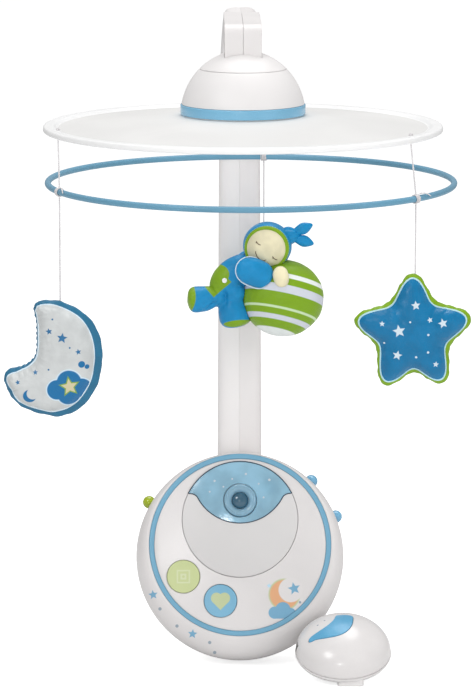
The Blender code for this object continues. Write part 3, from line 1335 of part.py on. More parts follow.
def remote_control():
    """Remote control: two shells, the crescent button and the signal window."""
    upper = add_object("remote_upper_shell", pebble_mesh(REMOTE_CROWN), WHITE, REMOTE_FRAME)
    wide_outline = offset_outline(remote_button_outline(), SLIDE_GAP)
    pocket = outline_mesh(wide_outline, REMOTE_BUTTON_FLOOR, 2 * REMOTE_CROWN)
    cut(upper, add_object("remote_pocket", pocket, WHITE, REMOTE_FRAME))
    cut(upper, add_object("signal_space", signal_window_mesh(CLEAR), WHITE, REMOTE_FRAME))
    window = add_object("remote_signal_window", pebble_mesh(REMOTE_CROWN), BLACK, REMOTE_FRAME)
    tool = as_cutter(add_object("signal_block", signal_window_mesh(0.0), WHITE, REMOTE_FRAME))
    boolean(window, tool, "INTERSECT")
    crown = pebble_mesh(REMOTE_CROWN, REMOTE_BUTTON_PROUD)
    button = add_object("remote_button", crown, SKY_BLUE, REMOTE_FRAME)
    floor = REMOTE_BUTTON_FLOOR + REMOTE_BUTTON_TRAVEL + CLEAR
    prism = outline_mesh(remote_button_outline(), floor, 2 * REMOTE_CROWN)
    boolean(button, as_cutter(add_object("button_prism", prism, WHITE, REMOTE_FRAME)), "INTERSECT")
    lower = add_object("remote_lower_shell", pebble_mesh(-REMOTE_BELLY), WHITE, REMOTE_FRAME)
    foot_length = REMOTE_FOOT_BACK - REMOTE_FOOT_FRONT
    foot_high = REMOTE_AT[2] - REMOTE_BELLY / 2 - REMOTE_FLOOR
    foot = box_mesh((REMOTE_FOOT_WIDTH, foot_length, foot_high),
                    (REMOTE_FOOT_X, (REMOTE_FOOT_BACK + REMOTE_FOOT_FRONT) / 2, REMOTE_FLOOR + foot_high / 2))
    foot = as_cutter(add_object("remote_foot", foot, WHITE, WORLD_FRAME))
    boolean(lower, foot, "UNION")
    above = box_mesh((4 * REMOTE_HALF_WIDTH, 4 * REMOTE_HALF_DEPTH, 2 * REMOTE_CROWN),
                     (0.0, 0.0, REMOTE_CROWN - CLEAR / 2))
    return cut(lower, add_object("above_parting", above, WHITE, REMOTE_FRAME))


def panel():
    """The panel's shells, projector, buttons, knobs and battery door."""
    front_shell()
    rear_shell()
    trim_ring()
    well_cover()
    projector_window()
    focus_barrel()
    projector_lens()
    picture_wheel()
    projector_lamp()
    push_button("green_button", GREEN_BUTTON_AT, PALE_GREEN)
    push_button("blue_button", BLUE_BUTTON_AT, SKY_BLUE)
    slider_knob("green_slider", GREEN_KNOB_ANGLE, CLEAR_GREEN)
    slider_knob("upper_blue_slider", BLUE_KNOB_ANGLES[0], CLEAR_BLUE)
    slider_knob("lower_blue_slider", BLUE_KNOB_ANGLES[1], CLEAR_BLUE)
    battery_door()


def carousel():
    """Dome, drive, disc, ring and the three hanging toys."""
    dome_cap()
    dome_shell()
    dome_band()
    drive_train()
    canopy_disc()
    hub_nut()
    hanging_ring()
    star_toy()
    moon_toy()
    doll_toy()


def main():
    """Build the whole mobile."""
    rail_clamp()
    panel()
    post_and_neck()
    carousel()
    remote_control()
    bpy.context.view_layer.update()


main()
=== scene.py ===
"""Looks of a crib mobile: projector panel, post, motor dome, canopy disc, ring, soft toys and remote.

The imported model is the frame. Each sub-assembly is a class that builds its pieces in the same metres
and axes as the frame, +Z up and the front towards -Y, and dresses them in their finishes.
"""
from __future__ import annotations

import json
import logging
import math
from dataclasses import dataclass
from enum import Enum
from typing import Callable, Iterable, Sequence

import bmesh
import bpy
from mathutils import Matrix, Vector, noise

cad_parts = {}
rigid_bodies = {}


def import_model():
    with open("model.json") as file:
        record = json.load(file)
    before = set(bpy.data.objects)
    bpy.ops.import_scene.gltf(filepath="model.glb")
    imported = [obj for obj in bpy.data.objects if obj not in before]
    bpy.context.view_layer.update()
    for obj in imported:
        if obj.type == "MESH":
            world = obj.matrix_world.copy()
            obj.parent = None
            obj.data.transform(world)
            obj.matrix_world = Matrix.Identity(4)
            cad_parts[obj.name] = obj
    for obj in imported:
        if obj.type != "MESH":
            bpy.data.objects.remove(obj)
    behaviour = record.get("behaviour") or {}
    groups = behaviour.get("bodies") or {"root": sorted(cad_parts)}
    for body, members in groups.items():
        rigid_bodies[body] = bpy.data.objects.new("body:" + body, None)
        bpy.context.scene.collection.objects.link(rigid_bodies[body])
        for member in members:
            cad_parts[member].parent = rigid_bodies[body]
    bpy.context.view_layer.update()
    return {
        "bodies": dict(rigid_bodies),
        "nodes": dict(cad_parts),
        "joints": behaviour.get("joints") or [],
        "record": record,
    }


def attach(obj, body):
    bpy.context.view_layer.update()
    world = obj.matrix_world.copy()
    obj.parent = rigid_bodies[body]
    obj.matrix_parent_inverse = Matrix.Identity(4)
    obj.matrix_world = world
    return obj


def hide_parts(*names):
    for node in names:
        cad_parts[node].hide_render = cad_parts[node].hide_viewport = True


LOG = logging.getLogger("crib_mobile")
Flat = tuple[float, float]
Colour = tuple[float, float, float]
Place = Sequence[float]

PANEL_ORIGIN = (0.0, -0.062, 0.0)
PANEL_LEAN = math.radians(77.0)
REMOTE_ORIGIN = (0.1037, -0.1350, -0.0822)
REMOTE_LEAN = math.radians(22.0)
PANEL = Matrix.Translation(PANEL_ORIGIN) @ Matrix.Rotation(PANEL_LEAN, 4, "X")
REMOTE = Matrix.Translation(REMOTE_ORIGIN) @ Matrix.Rotation(REMOTE_LEAN, 4, "X")
AXIS_Y = -0.302         # the carousel's axis
DISC_Z = 0.469          # rim plane of the disc
RING_Z = 0.4195         # middle of the ring's tube
RING_ORBIT = 0.193
RING_SHIFT = 0.0076     # the ring hangs a little to the right
RING_TUBE = 0.0030
CAROUSEL = Matrix.Translation((0.0, AXIS_Y, DISC_Z))
GAP = 0.0003            # between pieces that touch
FRAME: dict = {}        # the loaded solids, filled in main()


# ---------------------------------------------------------------- shader nodes

def set_inputs(node: bpy.types.Node, values: dict[str, object]) -> None:
    """Set constants on a node's inputs by name."""
    for name, value in values.items():
        node.inputs[name].default_value = value


class Graph:
    """Short hand for the nodes of one material or one node group."""

    def __init__(self, tree: bpy.types.NodeTree) -> None:
        """Take the tree that the nodes go into."""
        self.tree = tree

    def node(self, kind: str, **settings: object) -> bpy.types.Node:
        """Add a node and set its properties.

        Args:
            kind: the node's type name.
            settings: properties of the node.

        Returns:
            The new node.
        """
        made = self.tree.nodes.new(kind)
        for key, value in settings.items():
            setattr(made, key, value)
        return made

    def feed(self, socket: bpy.types.NodeSocket, value: object) -> None:
        """Link a socket to another one, or set its value."""
        if isinstance(value, bpy.types.NodeSocket):
            self.tree.links.new(value, socket)
        elif isinstance(value, tuple) and len(value) == 3 and socket.type == "RGBA":
            socket.default_value = (*value, 1.0)
        else:
            socket.default_value = value

    def math(self, operation: str, *values: object) -> bpy.types.NodeSocket:
        """Result of a Math node on sockets or numbers."""
        made = self.node("ShaderNodeMath", operation=operation)
        for socket, value in zip(made.inputs, values):
            self.feed(socket, value)
        return made.outputs[0]

    def mix(self, factor: object, one: object, two: object) -> bpy.types.NodeSocket:
        """Colour between two colours by a factor."""
        made = self.node("ShaderNodeMix", data_type="RGBA")
        self.feed(made.inputs[0], factor)
        self.feed(made.inputs[6], one)
        self.feed(made.inputs[7], two)
        return made.outputs[2]

    def spread(self, value: object, span: Flat, to: Flat, smooth: bool = False) -> bpy.types.NodeSocket:
        """A value carried from one span over to another, held inside it.

        Args:
            value: the socket to carry over.
            span: its low and high end.
            to: what these ends become.
            smooth: ease in and out.

        Returns:
            The socket of the result.
        """
        made = self.node("ShaderNodeMapRange", interpolation_type="SMOOTHSTEP" if smooth else "LINEAR")
        for name, part in zip(("Value", "From Min", "From Max", "To Min", "To Max"), (value, *span, *to)):
            self.feed(made.inputs[name], part)
        return made.outputs[0]

    def noise(self, vector: object, scale: object, detail: float = 2.0,
              twist: float = 0.0) -> bpy.types.NodeSocket:
        """Value of a noise texture."""
        made = self.node("ShaderNodeTexNoise")
        self.feed(made.inputs["Vector"], vector)
        self.feed(made.inputs["Scale"], scale)
        set_inputs(made, {"Detail": detail, "Distortion": twist})
        return made.outputs[0]

    def group(self, tree: bpy.types.NodeTree, **values: object) -> dict[str, bpy.types.NodeSocket]:
        """Place a shared group.

        Args:
            tree: the group's tree.
            values: its inputs by name.

        Returns:
            Its outputs by name.
        """
        made = self.node("ShaderNodeGroup", node_tree=tree)
        for key, value in values.items():
            self.feed(made.inputs[key], value)
        return {socket.name: socket for socket in made.outputs}

    def bump(self, height: object, depth: float, normal: object = None) -> bpy.types.NodeSocket:
        """Normal that a height of a given depth gives."""
        made = self.node("ShaderNodeBump")
        set_inputs(made, {"Strength": 1.0, "Distance": depth})
        self.feed(made.inputs["Height"], height)
        if normal is not None:
            self.feed(made.inputs["Normal"], normal)
        return made.outputs[0]


def shared_group(name: str, inputs: Sequence[str], outputs: Sequence[str],
                 build: Callable[[Graph, dict, dict], None]) -> bpy.types.NodeTree:
    """A shader group that is made once.

    Args:
        name: the group's name.
        inputs: names of its inputs; Vector is a vector, the others are numbers.
        outputs: names of its outputs, all numbers.
        build: fills the group, given its graph and its sockets by name.

    Returns:
        The group's tree.
    """
    made = bpy.data.node_groups.get(name)
    if made:
        return made
    made = bpy.data.node_groups.new(name, "ShaderNodeTree")
    for label in inputs:
        kind = "NodeSocketVector" if label == "Vector" else "NodeSocketFloat"
        made.interface.new_socket(name=label, in_out="INPUT", socket_type=kind)
    for label in outputs:
        made.interface.new_socket(name=label, in_out="OUTPUT", socket_type="NodeSocketFloat")
    graph = Graph(made)
    source = graph.node("NodeGroupInput")
    target = graph.node("NodeGroupOutput")
    build(graph, {s.name: s for s in source.outputs}, {s.name: s for s in target.inputs})
    return made


def surface_tone() -> bpy.types.NodeTree:
    """Group: slow clouds and a fine grain over a surface."""
    def build(graph: Graph, given: dict, out: dict) -> None:
        cloud = graph.noise(given["Vector"], given["Clouds"], 3.0, 0.3)
        graph.feed(out["Mask"], graph.spread(cloud, (0.32, 0.68), (0.0, 1.0), True))
        graph.feed(out["Grain"], graph.noise(given["Vector"], given["Fine"], 2.0))
    return shared_group("surface_tone", ("Vector", "Clouds", "Fine"), ("Mask", "Grain"), build)


def cloth_weave() -> bpy.types.NodeTree:
    """Group: over-and-under threads, and soft creases."""
    def build(graph: Graph, given: dict, out: dict) -> None:
        parts = graph.node("ShaderNodeSeparateXYZ")
        graph.feed(parts.inputs[0], given["Vector"])
        side = graph.math("MULTIPLY", parts.outputs[1], 0.6)
        turn = graph.math("MULTIPLY", given["Threads"], math.tau / 2)
        across = graph.math("ADD", parts.outputs[0], side)
        up = graph.math("SUBTRACT", parts.outputs[2], side)
        warp, weft = (graph.math("SINE", graph.math("MULTIPLY", place, turn)) for place in (across, up))
        graph.feed(out["Height"], graph.math("MULTIPLY_ADD", graph.math("MULTIPLY", warp, weft), 0.5, 0.5))
        graph.feed(out["Crease"], graph.noise(given["Vector"], given["Creases"], 2.0, 0.9))
    return shared_group("cloth_weave", ("Vector", "Threads", "Creases"), ("Height", "Crease"), build)


class Shape(Enum):
    """Plain printed shapes."""

    STAR = "star"
    DOT = "dot"
    BOX = "box"

    def group(self) -> bpy.types.NodeTree:
        """Group that masks this shape in the plane of its vector's x and y."""
        def build(graph: Graph, given: dict, out: dict) -> None:
            parts = graph.node("ShaderNodeSeparateXYZ")
            graph.feed(parts.inputs[0], given["Vector"])
            x = graph.math("DIVIDE", graph.math("SUBTRACT", parts.outputs[0], given["X"]), given["Size"])
            y = graph.math("DIVIDE", graph.math("SUBTRACT", parts.outputs[1], given["Y"]), given["Size"])
            cos, sin = graph.math("COSINE", given["Turn"]), graph.math("SINE", given["Turn"])
            across = graph.math("MULTIPLY_ADD", x, cos, graph.math("MULTIPLY", y, sin))
            up = graph.math("SUBTRACT", graph.math("MULTIPLY", y, cos), graph.math("MULTIPLY", x, sin))
            up = graph.math("DIVIDE", up, given["Squash"])
            edge = self.edge(graph, across, up)
            graph.feed(out["Mask"], graph.spread(edge, (-0.05, 0.05), (1.0, 0.0), True))
        inputs = ("Vector", "X", "Y", "Size", "Turn", "Squash")
        return shared_group(f"{self.value}_mark", inputs, ("Mask",), build)

    def edge(self, graph: Graph, across: object, up: object) -> bpy.types.NodeSocket:
        """Distance outside the shape's edge, as a share of its size.

        Args:
            graph: the group's graph.
            across: place along the shape's own x.
            up: place along its own y.

        Returns:
            The socket of the distance, negative inside.
        """
        if self is Shape.BOX:
            widest = graph.math("MAXIMUM", graph.math("ABSOLUTE", across), graph.math("ABSOLUTE", up))
            return graph.math("SUBTRACT", widest, 1.0)
        reach = graph.math("SQRT", graph.math("MULTIPLY_ADD", across, across, graph.math("MULTIPLY", up, up)))
        if self is Shape.DOT:
            return graph.math("SUBTRACT", reach, 1.0)
        fifth = math.pi / 5
        angle = graph.math("PINGPONG", graph.math("ARCTAN2", across, up), fifth)
        along = graph.math("MULTIPLY", reach, graph.math("COSINE", angle))
        aside = graph.math("MULTIPLY", reach, graph.math("SINE", angle))
        inner = 0.46  # reach of the valleys as a share of the tips'
        valley = (inner * math.cos(fifth), inner * math.sin(fifth))
        flank = math.hypot(1.0 - valley[0], valley[1])
        first = graph.math("MULTIPLY", graph.math("SUBTRACT", along, 1.0), valley[1] / flank)
        return graph.math("MULTIPLY_ADD", aside, (1.0 - valley[0]) / flank, first)


@dataclass(frozen=True)
class Mark:
    """One printed shape at a place of its printing plane, in metres."""

    shape: Shape
    at: Flat
    size: float
    colour: Colour
    turn: float = 0.0
    squash: float = 1.0


def star(x: float, y: float, size: float, colour: Colour, turn: float = 0.0) -> Mark:
    """A star mark from millimetres and degrees."""
    return Mark(Shape.STAR, (x / 1000, y / 1000), size / 1000, colour, math.radians(turn))


def dot(x: float, y: float, size: float, colour: Colour, squash: float = 1.0, turn: float = 0.0) -> Mark:
    """A round or oval mark from millimetres and degrees."""
    return Mark(Shape.DOT, (x / 1000, y / 1000), size / 1000, colour, math.radians(turn), squash)


def block(x: float, y: float, size: float, colour: Colour, squash: float = 1.0, turn: float = 0.0) -> Mark:
    """A box mark from millimetres and degrees."""
    return Mark(Shape.BOX, (x / 1000, y / 1000), size / 1000, colour, math.radians(turn), squash)


@dataclass(frozen=True)
class Printing:
    """Marks on a plane that is placed by its origin and its lean about X."""

    origin: tuple[float, float, float]
    lean: float
    marks: tuple[Mark, ...]

    def over(self, graph: Graph, coords: object, ground: object) -> object:
        """Paint the marks over a ground colour, the first one lowest.

        Args:
            graph: the material's graph.
            coords: the piece's own coordinates.
            ground: colour socket under the marks.

        Returns:
            The colour socket with the marks.
        """
        plane = graph.node("ShaderNodeMapping", vector_type="TEXTURE")
        graph.feed(plane.inputs["Vector"], coords)
        set_inputs(plane, {"Location": self.origin, "Rotation": (self.lean, 0.0, 0.0)})
        for mark in self.marks:
            mask = graph.group(mark.shape.group(), Vector=plane.outputs[0], X=mark.at[0], Y=mark.at[1],
                               Size=mark.size, Turn=mark.turn, Squash=mark.squash)["Mask"]
            ground = graph.mix(mask, ground, mark.colour)
        return ground


# ---------------------------------------------------------------- finishes

def clouded(graph: Graph, mask: object, colour: Colour, share: float) -> bpy.types.NodeSocket:
    """A colour that a mask makes darker and lighter by a share."""
    low, high = (tuple(min(1.0, part * (1.0 + way * share)) for part in colour) for way in (-1, 1))
    return graph.mix(mask, low, high)


def new_material(name: str) -> tuple[bpy.types.Material, Graph, bpy.types.Node, bpy.types.NodeSocket]:
    """A new material with its graph, its shader and the piece's own coordinates."""
    made = bpy.data.materials.new(name)
    made.use_nodes = True
    graph = Graph(made.node_tree)
    coords = graph.node("ShaderNodeTexCoord").outputs["Object"]
    return made, graph, made.node_tree.nodes["Principled BSDF"], coords


@dataclass(frozen=True)
class Plastic:
    """Moulded plastic: slow clouds in the colour, fine grain in the gloss and the surface."""

    name: str
    colour: Colour
    roughness: float = 0.32
    clouds: float = 0.025
    cloud_scale: float = 14.0
    grain_scale: float = 1500.0
    grain: float = 0.00003
    coat: float = 0.0
    clear: float = 0.0
    metal: float = 0.0
    shine: float = 0.5
    print: Printing | None = None

    def material(self) -> bpy.types.Material:
        """The finish as a material, made once."""
        made = bpy.data.materials.get(self.name)
        if made:
            return made
        made, graph, shader, coords = new_material(self.name)
        tone = graph.group(surface_tone(), Vector=coords, Clouds=self.cloud_scale, Fine=self.grain_scale)
        colour = clouded(graph, tone["Mask"], self.colour, self.clouds)
        if self.print:
            colour = self.print.over(graph, coords, colour)
        graph.feed(shader.inputs["Base Color"], colour)
        gloss = (self.roughness * 0.85, min(1.0, self.roughness * 1.15))
        graph.feed(shader.inputs["Roughness"], graph.spread(tone["Grain"], (0.3, 0.7), gloss))
        graph.feed(shader.inputs["Normal"], graph.bump(tone["Grain"], self.grain))
        set_inputs(shader, {"Coat Weight": self.coat, "Coat Roughness": 0.12, "Metallic": self.metal,
                            "Specular IOR Level": self.shine, "Transmission Weight": self.clear, "IOR": 1.49})
        made.diffuse_color = (*self.colour, 1.0)
        return made


@dataclass(frozen=True)
class Cloth:
    """Woven or knitted cloth with a sheen, fine threads and soft creases."""

    name: str
    colour: Colour
    roughness: float = 0.42
    sheen: float = 0.25
    threads: float = 2200.0
    nap: float = 0.00010
    creases: float = 55.0
    crease: float = 0.0016
    clouds: float = 0.07
    coat: float = 0.0
    shine: float = 0.2
    print: Printing | None = None
    stripes: tuple[Place, Place, tuple[tuple[float, Colour], ...]] | None = None

    def material(self) -> bpy.types.Material:
        """The finish as a material, made once."""
        made = bpy.data.materials.get(self.name)
        if made:
            return made
        made, graph, shader, coords = new_material(self.name)
        tone = graph.group(surface_tone(), Vector=coords, Clouds=70.0, Fine=2600.0)
        weave = graph.group(cloth_weave(), Vector=coords, Threads=self.threads, Creases=self.creases)
        if self.stripes:
            colour = self.striped(graph, coords)
        else:
            colour = clouded(graph, tone["Mask"], self.colour, self.clouds)
        if self.print:
            colour = self.print.over(graph, coords, colour)
        graph.feed(shader.inputs["Base Color"], colour)
        gloss = (self.roughness * 0.8, min(1.0, self.roughness * 1.2))
        graph.feed(shader.inputs["Roughness"], graph.spread(weave["Height"], (0.0, 1.0), gloss))
        soft = graph.bump(weave["Crease"], self.crease)
        graph.feed(shader.inputs["Normal"], graph.bump(weave["Height"], self.nap, soft))
        set_inputs(shader, {"Sheen Weight": self.sheen, "Sheen Roughness": 0.4, "Coat Weight": self.coat,
                            "Specular IOR Level": self.shine, "Coat Roughness": 0.28})
        made.diffuse_color = (*self.colour, 1.0)
        return made

    def striped(self, graph: Graph, coords: object) -> bpy.types.NodeSocket:
        """Bands of colour across an axis through a centre.

        Args:
            graph: the material's graph.
            coords: the piece's own coordinates.

        Returns:
            The colour socket.
        """
        centre, axis, bands = self.stripes
        away = graph.node("ShaderNodeVectorMath", operation="SUBTRACT")
        graph.feed(away.inputs[0], coords)
        away.inputs[1].default_value = centre
        along = graph.node("ShaderNodeVectorMath", operation="DOT_PRODUCT")
        graph.feed(along.inputs[0], away.outputs[0])
        along.inputs[1].default_value = axis
        colour: object = bands[0][1]
        soft = 0.0003
        for edge, paint in bands[1:]:
            step = graph.spread(along.outputs["Value"], (edge - soft, edge + soft), (0.0, 1.0))
            colour = graph.mix(step, colour, paint)
        return colour


WHITE = Plastic("white_shell_plastic", (0.775, 0.755, 0.75), 0.42)
NECK_WHITE = Plastic("neck_plastic", (0.745, 0.72, 0.715), 0.42, 0.02)
# one white plastic for the post, its left half painted lighter and its right half darker: painted light and
# painted shade
POST_LEFT_PAINTED_LIGHT = Plastic("post_plastic_left", (0.80, 0.775, 0.77), 0.42, 0.02)
POST_RIGHT_PAINTED_SHADE = Plastic("post_plastic_right", (0.755, 0.725, 0.72), 0.42, 0.02)
DISC_GREY = Plastic("disc_matt_plastic", (0.70, 0.695, 0.685), 0.62, 0.03, 9.0, 1100.0, 0.00006)
COVER_GREY = Plastic("cover_satin_plastic", (0.66, 0.645, 0.64), 0.42, 0.02)
LIP_WHITE = Plastic("lip_white_plastic", (0.86, 0.86, 0.86), 0.34, 0.02)
SKY_BLUE = Plastic("sky_blue_plastic", (0.15, 0.365, 0.52), 0.34, 0.04, coat=0.1)
RING_BLUE = Plastic("ring_blue_plastic", (0.12, 0.30, 0.43), 0.36, 0.05)
BAND_BLUE = Plastic("band_blue_plastic", (0.22, 0.52, 0.74), 0.24, 0.05, clear=0.15, coat=0.2)
CLEAR_BLUE = Plastic("clear_blue_plastic", (0.24, 0.56, 0.80), 0.08, 0.05, clear=0.45, coat=0.3)
CLEAR_GREEN = Plastic("clear_green_plastic", (0.50, 0.62, 0.02), 0.10, 0.05, clear=0.5, coat=0.3)
# opaque dark lens: painted shade of the dark inside of the barrel, which the clear lens shows
LENS_PAINTED_SHADE = Plastic("lens_dark_glass", (0.035, 0.11, 0.17), 0.05, 0.02, grain=0.0, coat=0.8)
PALE_CLEAR_BLUE = Plastic("pale_clear_blue_plastic", (0.40, 0.68, 0.86), 0.07, 0.05, clear=0.5, coat=0.4)
REMOTE_BLUE = Plastic("remote_blue_plastic", (0.095, 0.36, 0.58), 0.30, 0.04, coat=0.1)
# dark plastic for painted shade: the shadow line round the window and the dark middle of the iris
SHADE_DARK = Plastic("seal_dark_plastic", (0.022, 0.045, 0.075), 0.30, 0.1)
DARK = Plastic("dark_plastic", (0.015, 0.016, 0.018), 0.25, 0.1)
STEEL = Plastic("bright_steel", (0.58, 0.58, 0.60), 0.28, 0.08, 30.0, 900.0, metal=1.0)
ACETAL = Plastic("acetal_plastic", (0.78, 0.75, 0.66), 0.40, 0.03)
RUBBER = Plastic("pad_rubber", (0.035, 0.037, 0.040), 0.75, 0.10, 20.0, 900.0, 0.00012)
CORD = Cloth("white_cord", (0.66, 0.64, 0.65), 0.7, 0.1, 3000.0, 0.00004, 200.0, 0.0)
BLUE_CLOTH = Cloth("blue_suit_cloth", (0.008, 0.25, 0.53), 0.34, 0.02, coat=0.2)
MOON_EDGE = Cloth("moon_edge_cloth", (0.026, 0.155, 0.275), 0.36, 0.02, coat=0.2)
GREEN_CLOTH = Cloth("green_satin_cloth", (0.205, 0.37, 0.012), 0.34, 0.02, coat=0.2)
CREAM_CLOTH = Cloth("cream_knit_cloth", (0.84, 0.77, 0.52), 0.6, 0.3, 1500.0, 0.00012, 40.0, 0.0008)
CREAM_FACE = Cloth("face_knit_cloth", (0.76, 0.70, 0.485), 0.55, 0.3, 1500.0, 0.00010, 40.0, 0.0006)
PIPING = Cloth("pale_piping_cloth", (0.46, 0.70, 0.76), 0.45, 0.1, 2600.0, 0.00005, 90.0, 0.0004)
WHITE_PIPING = Cloth("white_piping_cloth", (0.66, 0.78, 0.86), 0.45, 0.1, 2600.0, 0.00005, 90.0, 0.0004)
THREAD = Cloth("brown_thread", (0.10, 0.055, 0.03), 0.6, 0.2, 4000.0, 0.00003, 200.0, 0.0)


# ---------------------------------------------------------------- meshes

def turns(count: int) -> list[float]:
    """Even angles round a circle."""
    return [math.tau * i / count for i in range(count)]


def skin(sections: Sequence[Sequence[Place]], loop: bool = False) -> bpy.types.Mesh:
    """A closed body through closed sections; a section of one point ends it in a fan.

    Args:
        sections: rings of points, each with as many points or one.
        loop: join the last section to the first instead of closing the ends.

    Returns:
        The mesh, faces outwards.
    """
    work = bmesh.new()
    rings = [[work.verts.new(point) for point in section] for section in sections]
    pairs = list(zip(rings, rings[1:]))
    if loop:
        pairs.append((rings[-1], rings[0]))
    for one, two in pairs:
        count = max(len(one), len(two))
        for i in range(count):
            j = (i + 1) % count
            corners = [one[i % len(one)], one[j % len(one)], two[j % len(two)], two[i % len(two)]]
            corners = list(dict.fromkeys(corners))
            if len(corners) > 2:
                work.faces.new(corners)
    if not loop:
        for ring in (rings[0], rings[-1]):
            if len(ring) > 2:
                work.faces.new(ring)
    bmesh.ops.recalc_face_normals(work, faces=work.faces)
    mesh = bpy.data.meshes.new("skin")
    work.to_mesh(mesh)
    work.free()
    return mesh


def lathe(profile: Sequence[Flat], steps: int = 128, loop: bool = False,
          at: Flat = (0.0, 0.0)) -> bpy.types.Mesh:
    """A profile of (radius, height) points turned about an axis along Z.

    Args:
        profile: the points, from one end to the other.
        steps: facets round the axis.
        loop: the profile closes on itself.
        at: place of the axis.

    Returns:
        The mesh.
    """
    rings = []
    for radius, height in profile:
        angles = turns(steps) if radius > 1e-7 else [0.0]
        rings.append([(at[0] + radius * math.cos(a), at[1] + radius * math.sin(a), height) for a in angles])
    return skin(rings, loop)


def fillet(points: Sequence[Flat], radius: float, count: int = 5, loop: bool = True) -> list[Flat]:
    """Round the corners of a flat outline or profile.

    Args:
        points: its corners.
        radius: how far from a corner the rounding starts.
        count: points of each rounding.
        loop: the outline closes; otherwise its two ends stay sharp.

    Returns:
        The rounded points.
    """
    rounded: list[Flat] = []
    for i, point in enumerate(points):
        if not loop and i in (0, len(points) - 1):
            rounded.append(tuple(point))
            continue
        here = Vector(point)
        before, after = Vector(points[i - 1]) - here, Vector(points[(i + 1) % len(points)]) - here
        start = here + before * min(0.45, radius / max(before.length, 1e-9))
        end = here + after * min(0.45, radius / max(after.length, 1e-9))
        for k in range(count):
            t = k / (count - 1)
            rounded.append(tuple(start * (1 - t) ** 2 + here * 2 * t * (1 - t) + end * t * t))
    return rounded


def prism(points: Sequence[Flat], low: float, high: float) -> bpy.types.Mesh:
    """A flat outline drawn up along Z from low to high."""
    return skin([[(x, y, low) for x, y in points], [(x, y, high) for x, y in points]])


def box(left: float, first: float, right: float, last: float) -> list[Flat]:
    """The four corners of a flat box, from its first edge to its last."""
    return [(left, first), (right, first), (right, last), (left, last)]


def drum(radius: float, low: float, high: float, steps: int, at: Flat = (0.0, 0.0)) -> bpy.types.Mesh:
    """A plain cylinder along Z from low to high."""
    return lathe(box(0.0, low, radius, high), steps, at=at)


def tube(path: Sequence[Place], radius: float, around: int = 10, loop: bool = False,
         plies: int = 0, lay: float = 0.004, taper: bool = False) -> bpy.types.Mesh:
    """A round tube or a twisted cord along a path.

    Args:
        path: points of its middle line.
        radius: its radius.
        around: facets round it.
        loop: the path closes on itself.
        plies: strands that are twisted together; none is a plain tube.
        lay: length of one turn of the strands.
        taper: thin out towards both ends.

    Returns:
        The mesh.
    """
    points = [Vector(point) for point in path]
    count = len(points)
    sections, run = [], 0.0
    normal = Vector((0.0, 0.0, 1.0))
    for i, point in enumerate(points):
        before = points[i - 1] if i or loop else point
        after = points[(i + 1) % count] if i + 1 < count or loop else point
        ahead = (after - before).normalized()
        if i == 0 and abs(ahead.dot(normal)) > 0.9:
            normal = Vector((1.0, 0.0, 0.0))
        normal = (normal - ahead * normal.dot(ahead)).normalized()
        side = ahead.cross(normal)
        run += (point - points[i - 1]).length if i else 0.0
        ring = []
        thin = math.sqrt(max(0.02, 1.0 - (2.0 * i / (count - 1) - 1.0) ** 4)) if taper else 1.0
        for k in range(around):
            angle = math.tau * k / around
            lobe = 1.0
            if plies:
                lobe = 0.84 + 0.16 * abs(math.cos(plies * (angle - math.tau * run / lay) / 2))
            ring.append(point + (normal * math.cos(angle) + side * math.sin(angle)) * radius * lobe * thin)
        sections.append(ring)
    return skin(sections, loop)


def link(name: str, data: bpy.types.ID) -> bpy.types.Object:
    """A new object in the scene."""
    made = bpy.data.objects.new(name, data)
    bpy.context.scene.collection.objects.link(made)
    return made


def bake(part: bpy.types.Object) -> bpy.types.Object:
    """Turn a piece and its modifiers into a plain mesh."""
    graph = bpy.context.evaluated_depsgraph_get()
    mesh = bpy.data.meshes.new_from_object(part.evaluated_get(graph), depsgraph=graph)
    part.modifiers.clear()
    old = part.data
    part.data = mesh
    bpy.data.meshes.remove(old)
    return part


def piece(name: str, mesh: bpy.types.Mesh, *looks: Plastic | Cloth, place: Matrix | None = None,
          sharp: float = 38.0) -> bpy.types.Object:
    """Link a mesh as a piece at the origin, with its place in the mesh.

    Args:
        name: the piece's name.
        mesh: its shape.
        looks: finishes in the order of its material slots.
        place: matrix that carries the mesh to its place.
        sharp: edges above this angle stay sharp.

    Returns:
        The object.
    """
    if place is not None:
        mesh.transform(place)
    mesh.materials.clear()
    for look in looks:
        mesh.materials.append(look.material())
    mesh.shade_smooth()
    mesh.set_sharp_from_angle(angle=math.radians(sharp))
    return link(name, mesh)


def cut(part: bpy.types.Object, *tools: bpy.types.Mesh, operation: str = "DIFFERENCE") -> bpy.types.Object:
    """Cut a piece by meshes in its own coordinates.

    Args:
        part: the piece.
        tools: the cutting meshes.
        operation: the boolean's name.

    Returns:
        The piece.
    """
    for tool in tools:
        cutter = link("cutter", tool)
        step = part.modifiers.new("cut", "BOOLEAN")
        step.operation, step.object, step.solver = operation, cutter, "EXACT"
        bake(part)
        bpy.data.objects.remove(cutter, do_unlink=True)
    return part


def soften(part: bpy.types.Object, width: float, angle: float = 38.0, steps: int = 2) -> bpy.types.Object:
    """Round the edges of a piece and weight its normals by face.

    Args:
        part: the piece.
        width: width of the rounding.
        angle: only edges sharper than this.
        steps: facets across the rounding.

    Returns:
        The piece.
    """
    if width:
        edge = part.modifiers.new("edge", "BEVEL")
        edge.width, edge.segments, edge.limit_method = width, steps, "ANGLE"
        edge.angle_limit = math.radians(angle)
        edge.use_clamp_overlap = True
        edge.miter_outer = "MITER_ARC"
        bake(part)
    part.data.shade_smooth()
    part.data.set_sharp_from_angle(angle=math.radians(angle))
    weighted = part.modifiers.new("weighted", "WEIGHTED_NORMAL")
    weighted.keep_sharp = True
    return bake(part)


